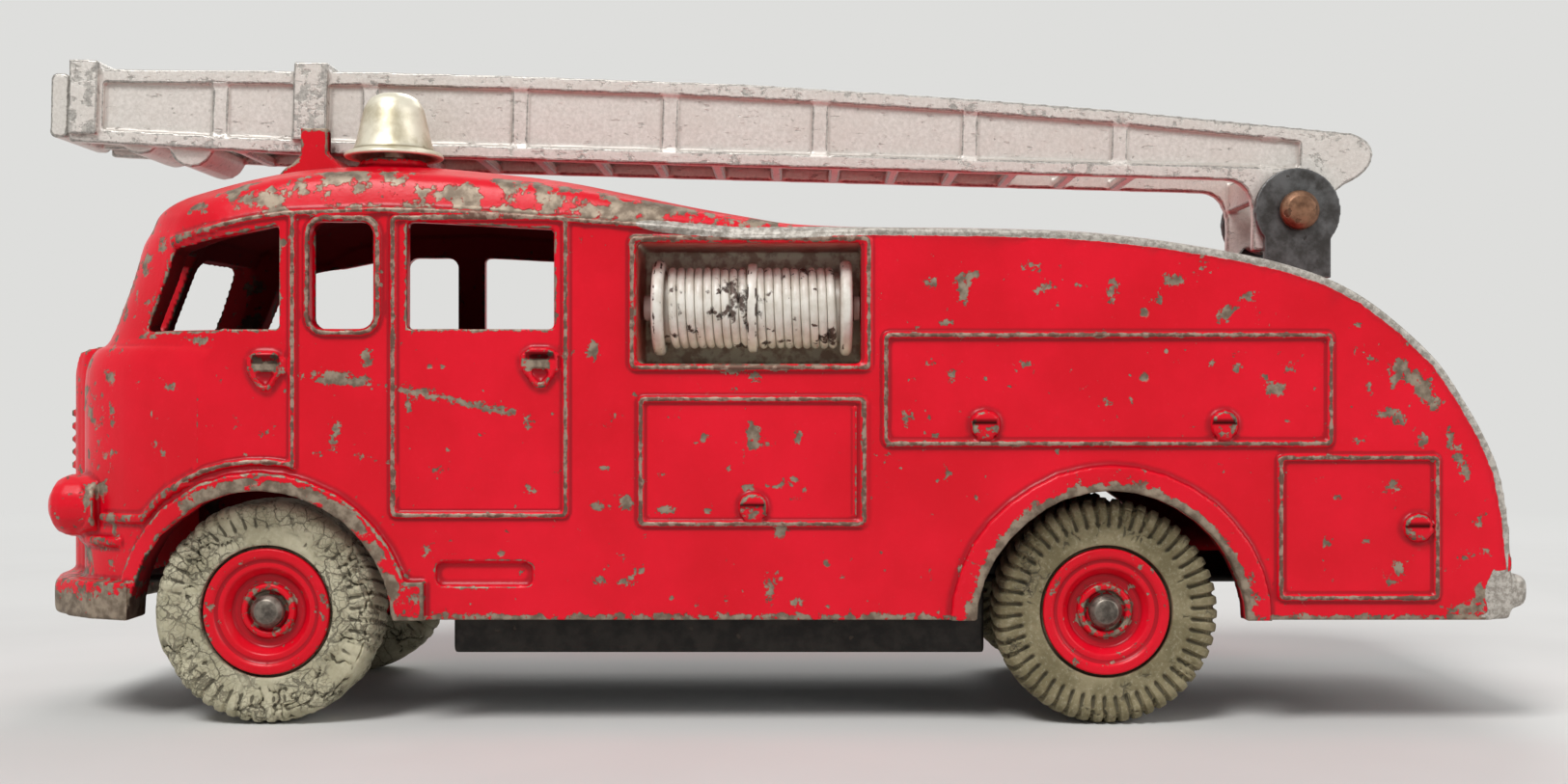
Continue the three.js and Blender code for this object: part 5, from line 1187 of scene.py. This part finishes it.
BACKDROP = shade(222, 222, 220)
FILL = (0.55, 0.56, 0.58, 1)
BLACK = (0.0, 0.0, 0.0, 1.0)
FLOOR_REACH = 6.0
# The floor turns into the backdrop between these distances from the object, in mm
BACKDROP_FROM = 70
BACKDROP_TO = 330


def seen_rays(tree):
    """1 for rays from the camera, directly or through or off a clear or glossy surface, and 0 for others."""
    rays = tree.nodes.new("ShaderNodeLightPath").outputs
    seen = rays["Is Camera Ray"]
    for kind in ("Is Glossy Ray", "Is Transmission Ray"):
        either = tree.nodes.new("ShaderNodeMath")
        either.operation = "MAXIMUM"
        tree.links.new(seen, either.inputs[0])
        tree.links.new(rays[kind], either.inputs[1])
        seen = either.outputs[0]
    return seen


def floor():
    """A plain floor that turns into the backdrop's colour away from the object, without a horizon."""
    mesh = bpy.data.meshes.new("studio_floor")
    corners = [(FLOOR_REACH * x, FLOOR_REACH * y, 0) for x, y in ((-1, -1), (1, -1), (1, 1), (-1, 1))]
    mesh.from_pydata(corners, [], [(0, 1, 2, 3)])
    look = Look("studio_floor_paint")
    tone = look.tones(look.noise(0.02, 3.0), 0.3, 0.7, shade(206, 205, 202), shade(212, 211, 208))
    distance = look.vector("LENGTH", look.vector("MULTIPLY", look.place, (0.75, 1, 0)))
    plain = look.times(look.spread(distance, BACKDROP_FROM, BACKDROP_TO), seen_rays(look.tree))
    look.finish(Base_Color=look.mix(plain, tone, BLACK), Roughness=0.9, Emission_Color=BACKDROP,
                Emission_Strength=plain, Specular_IOR_Level=look.scaled(plain, -0.3, 0.3))
    mesh.materials.append(look.material)
    piece = bpy.data.objects.new("studio_floor", mesh)
    bpy.context.scene.collection.objects.link(piece)


def lamp(name, place, aim, size, power):
    light = bpy.data.lights.new(name, "AREA")
    light.shape = "DISK"
    light.size = size
    light.energy = power
    holder = bpy.data.objects.new(name, light)
    holder.location = place
    holder.rotation_euler = (Vector(aim) - Vector(place)).to_track_quat("-Z", "Y").to_euler()
    bpy.context.scene.collection.objects.link(holder)


def studio_world():
    world = bpy.data.worlds.new("studio")
    bpy.context.scene.world = world
    world.use_nodes = True
    tree = world.node_tree
    tree.nodes.clear()
    either = tree.nodes.new("ShaderNodeMixShader")
    tree.links.new(seen_rays(tree), either.inputs[0])
    for place, (colour, strength) in enumerate(((FILL, 0.6), (BACKDROP, 1.0)), 1):
        light = tree.nodes.new("ShaderNodeBackground")
        light.inputs["Color"].default_value = colour
        light.inputs["Strength"].default_value = strength
        tree.links.new(light.outputs[0], either.inputs[place])
    output = tree.nodes.new("ShaderNodeOutputWorld")
    tree.links.new(either.outputs[0], output.inputs[0])


floor()
studio_world()
AIM = (0, 0, 0.03)
lamp("key_light", (-0.2, -0.42, 0.62), AIM, 0.3, 4.2)
lamp("side_light", (0.6, -0.35, 0.3), AIM, 0.4, 1.2)
lamp("back_light", (0.1, 0.6, 0.5), AIM, 0.5, 2.4)

PHOTO_WIDTH = 1625
PHOTO_HEIGHT = 813
VIEW_AXIS_X = 830
VIEW_AXIS_Y = 420
FOCAL_PIXELS = 1752
SENSOR_WIDTH = 36
CAMERA_PLACE = (4.1, -175.7, 29.8)
camera = bpy.data.cameras.new("photo_camera")
camera.sensor_width = SENSOR_WIDTH
camera.lens = FOCAL_PIXELS / PHOTO_WIDTH * SENSOR_WIDTH
camera.shift_x = (PHOTO_WIDTH / 2 - VIEW_AXIS_X) / PHOTO_WIDTH
camera.shift_y = (VIEW_AXIS_Y - PHOTO_HEIGHT / 2) / PHOTO_WIDTH
camera.clip_start = MM
viewer = bpy.data.objects.new("photo_camera", camera)
viewer.location = Vector(CAMERA_PLACE) * MM
viewer.rotation_euler = (math.pi / 2, 0, 0)
bpy.context.scene.collection.objects.link(viewer)
bpy.context.scene.camera = viewer
bpy.context.scene.view_settings.view_transform = "Standard"
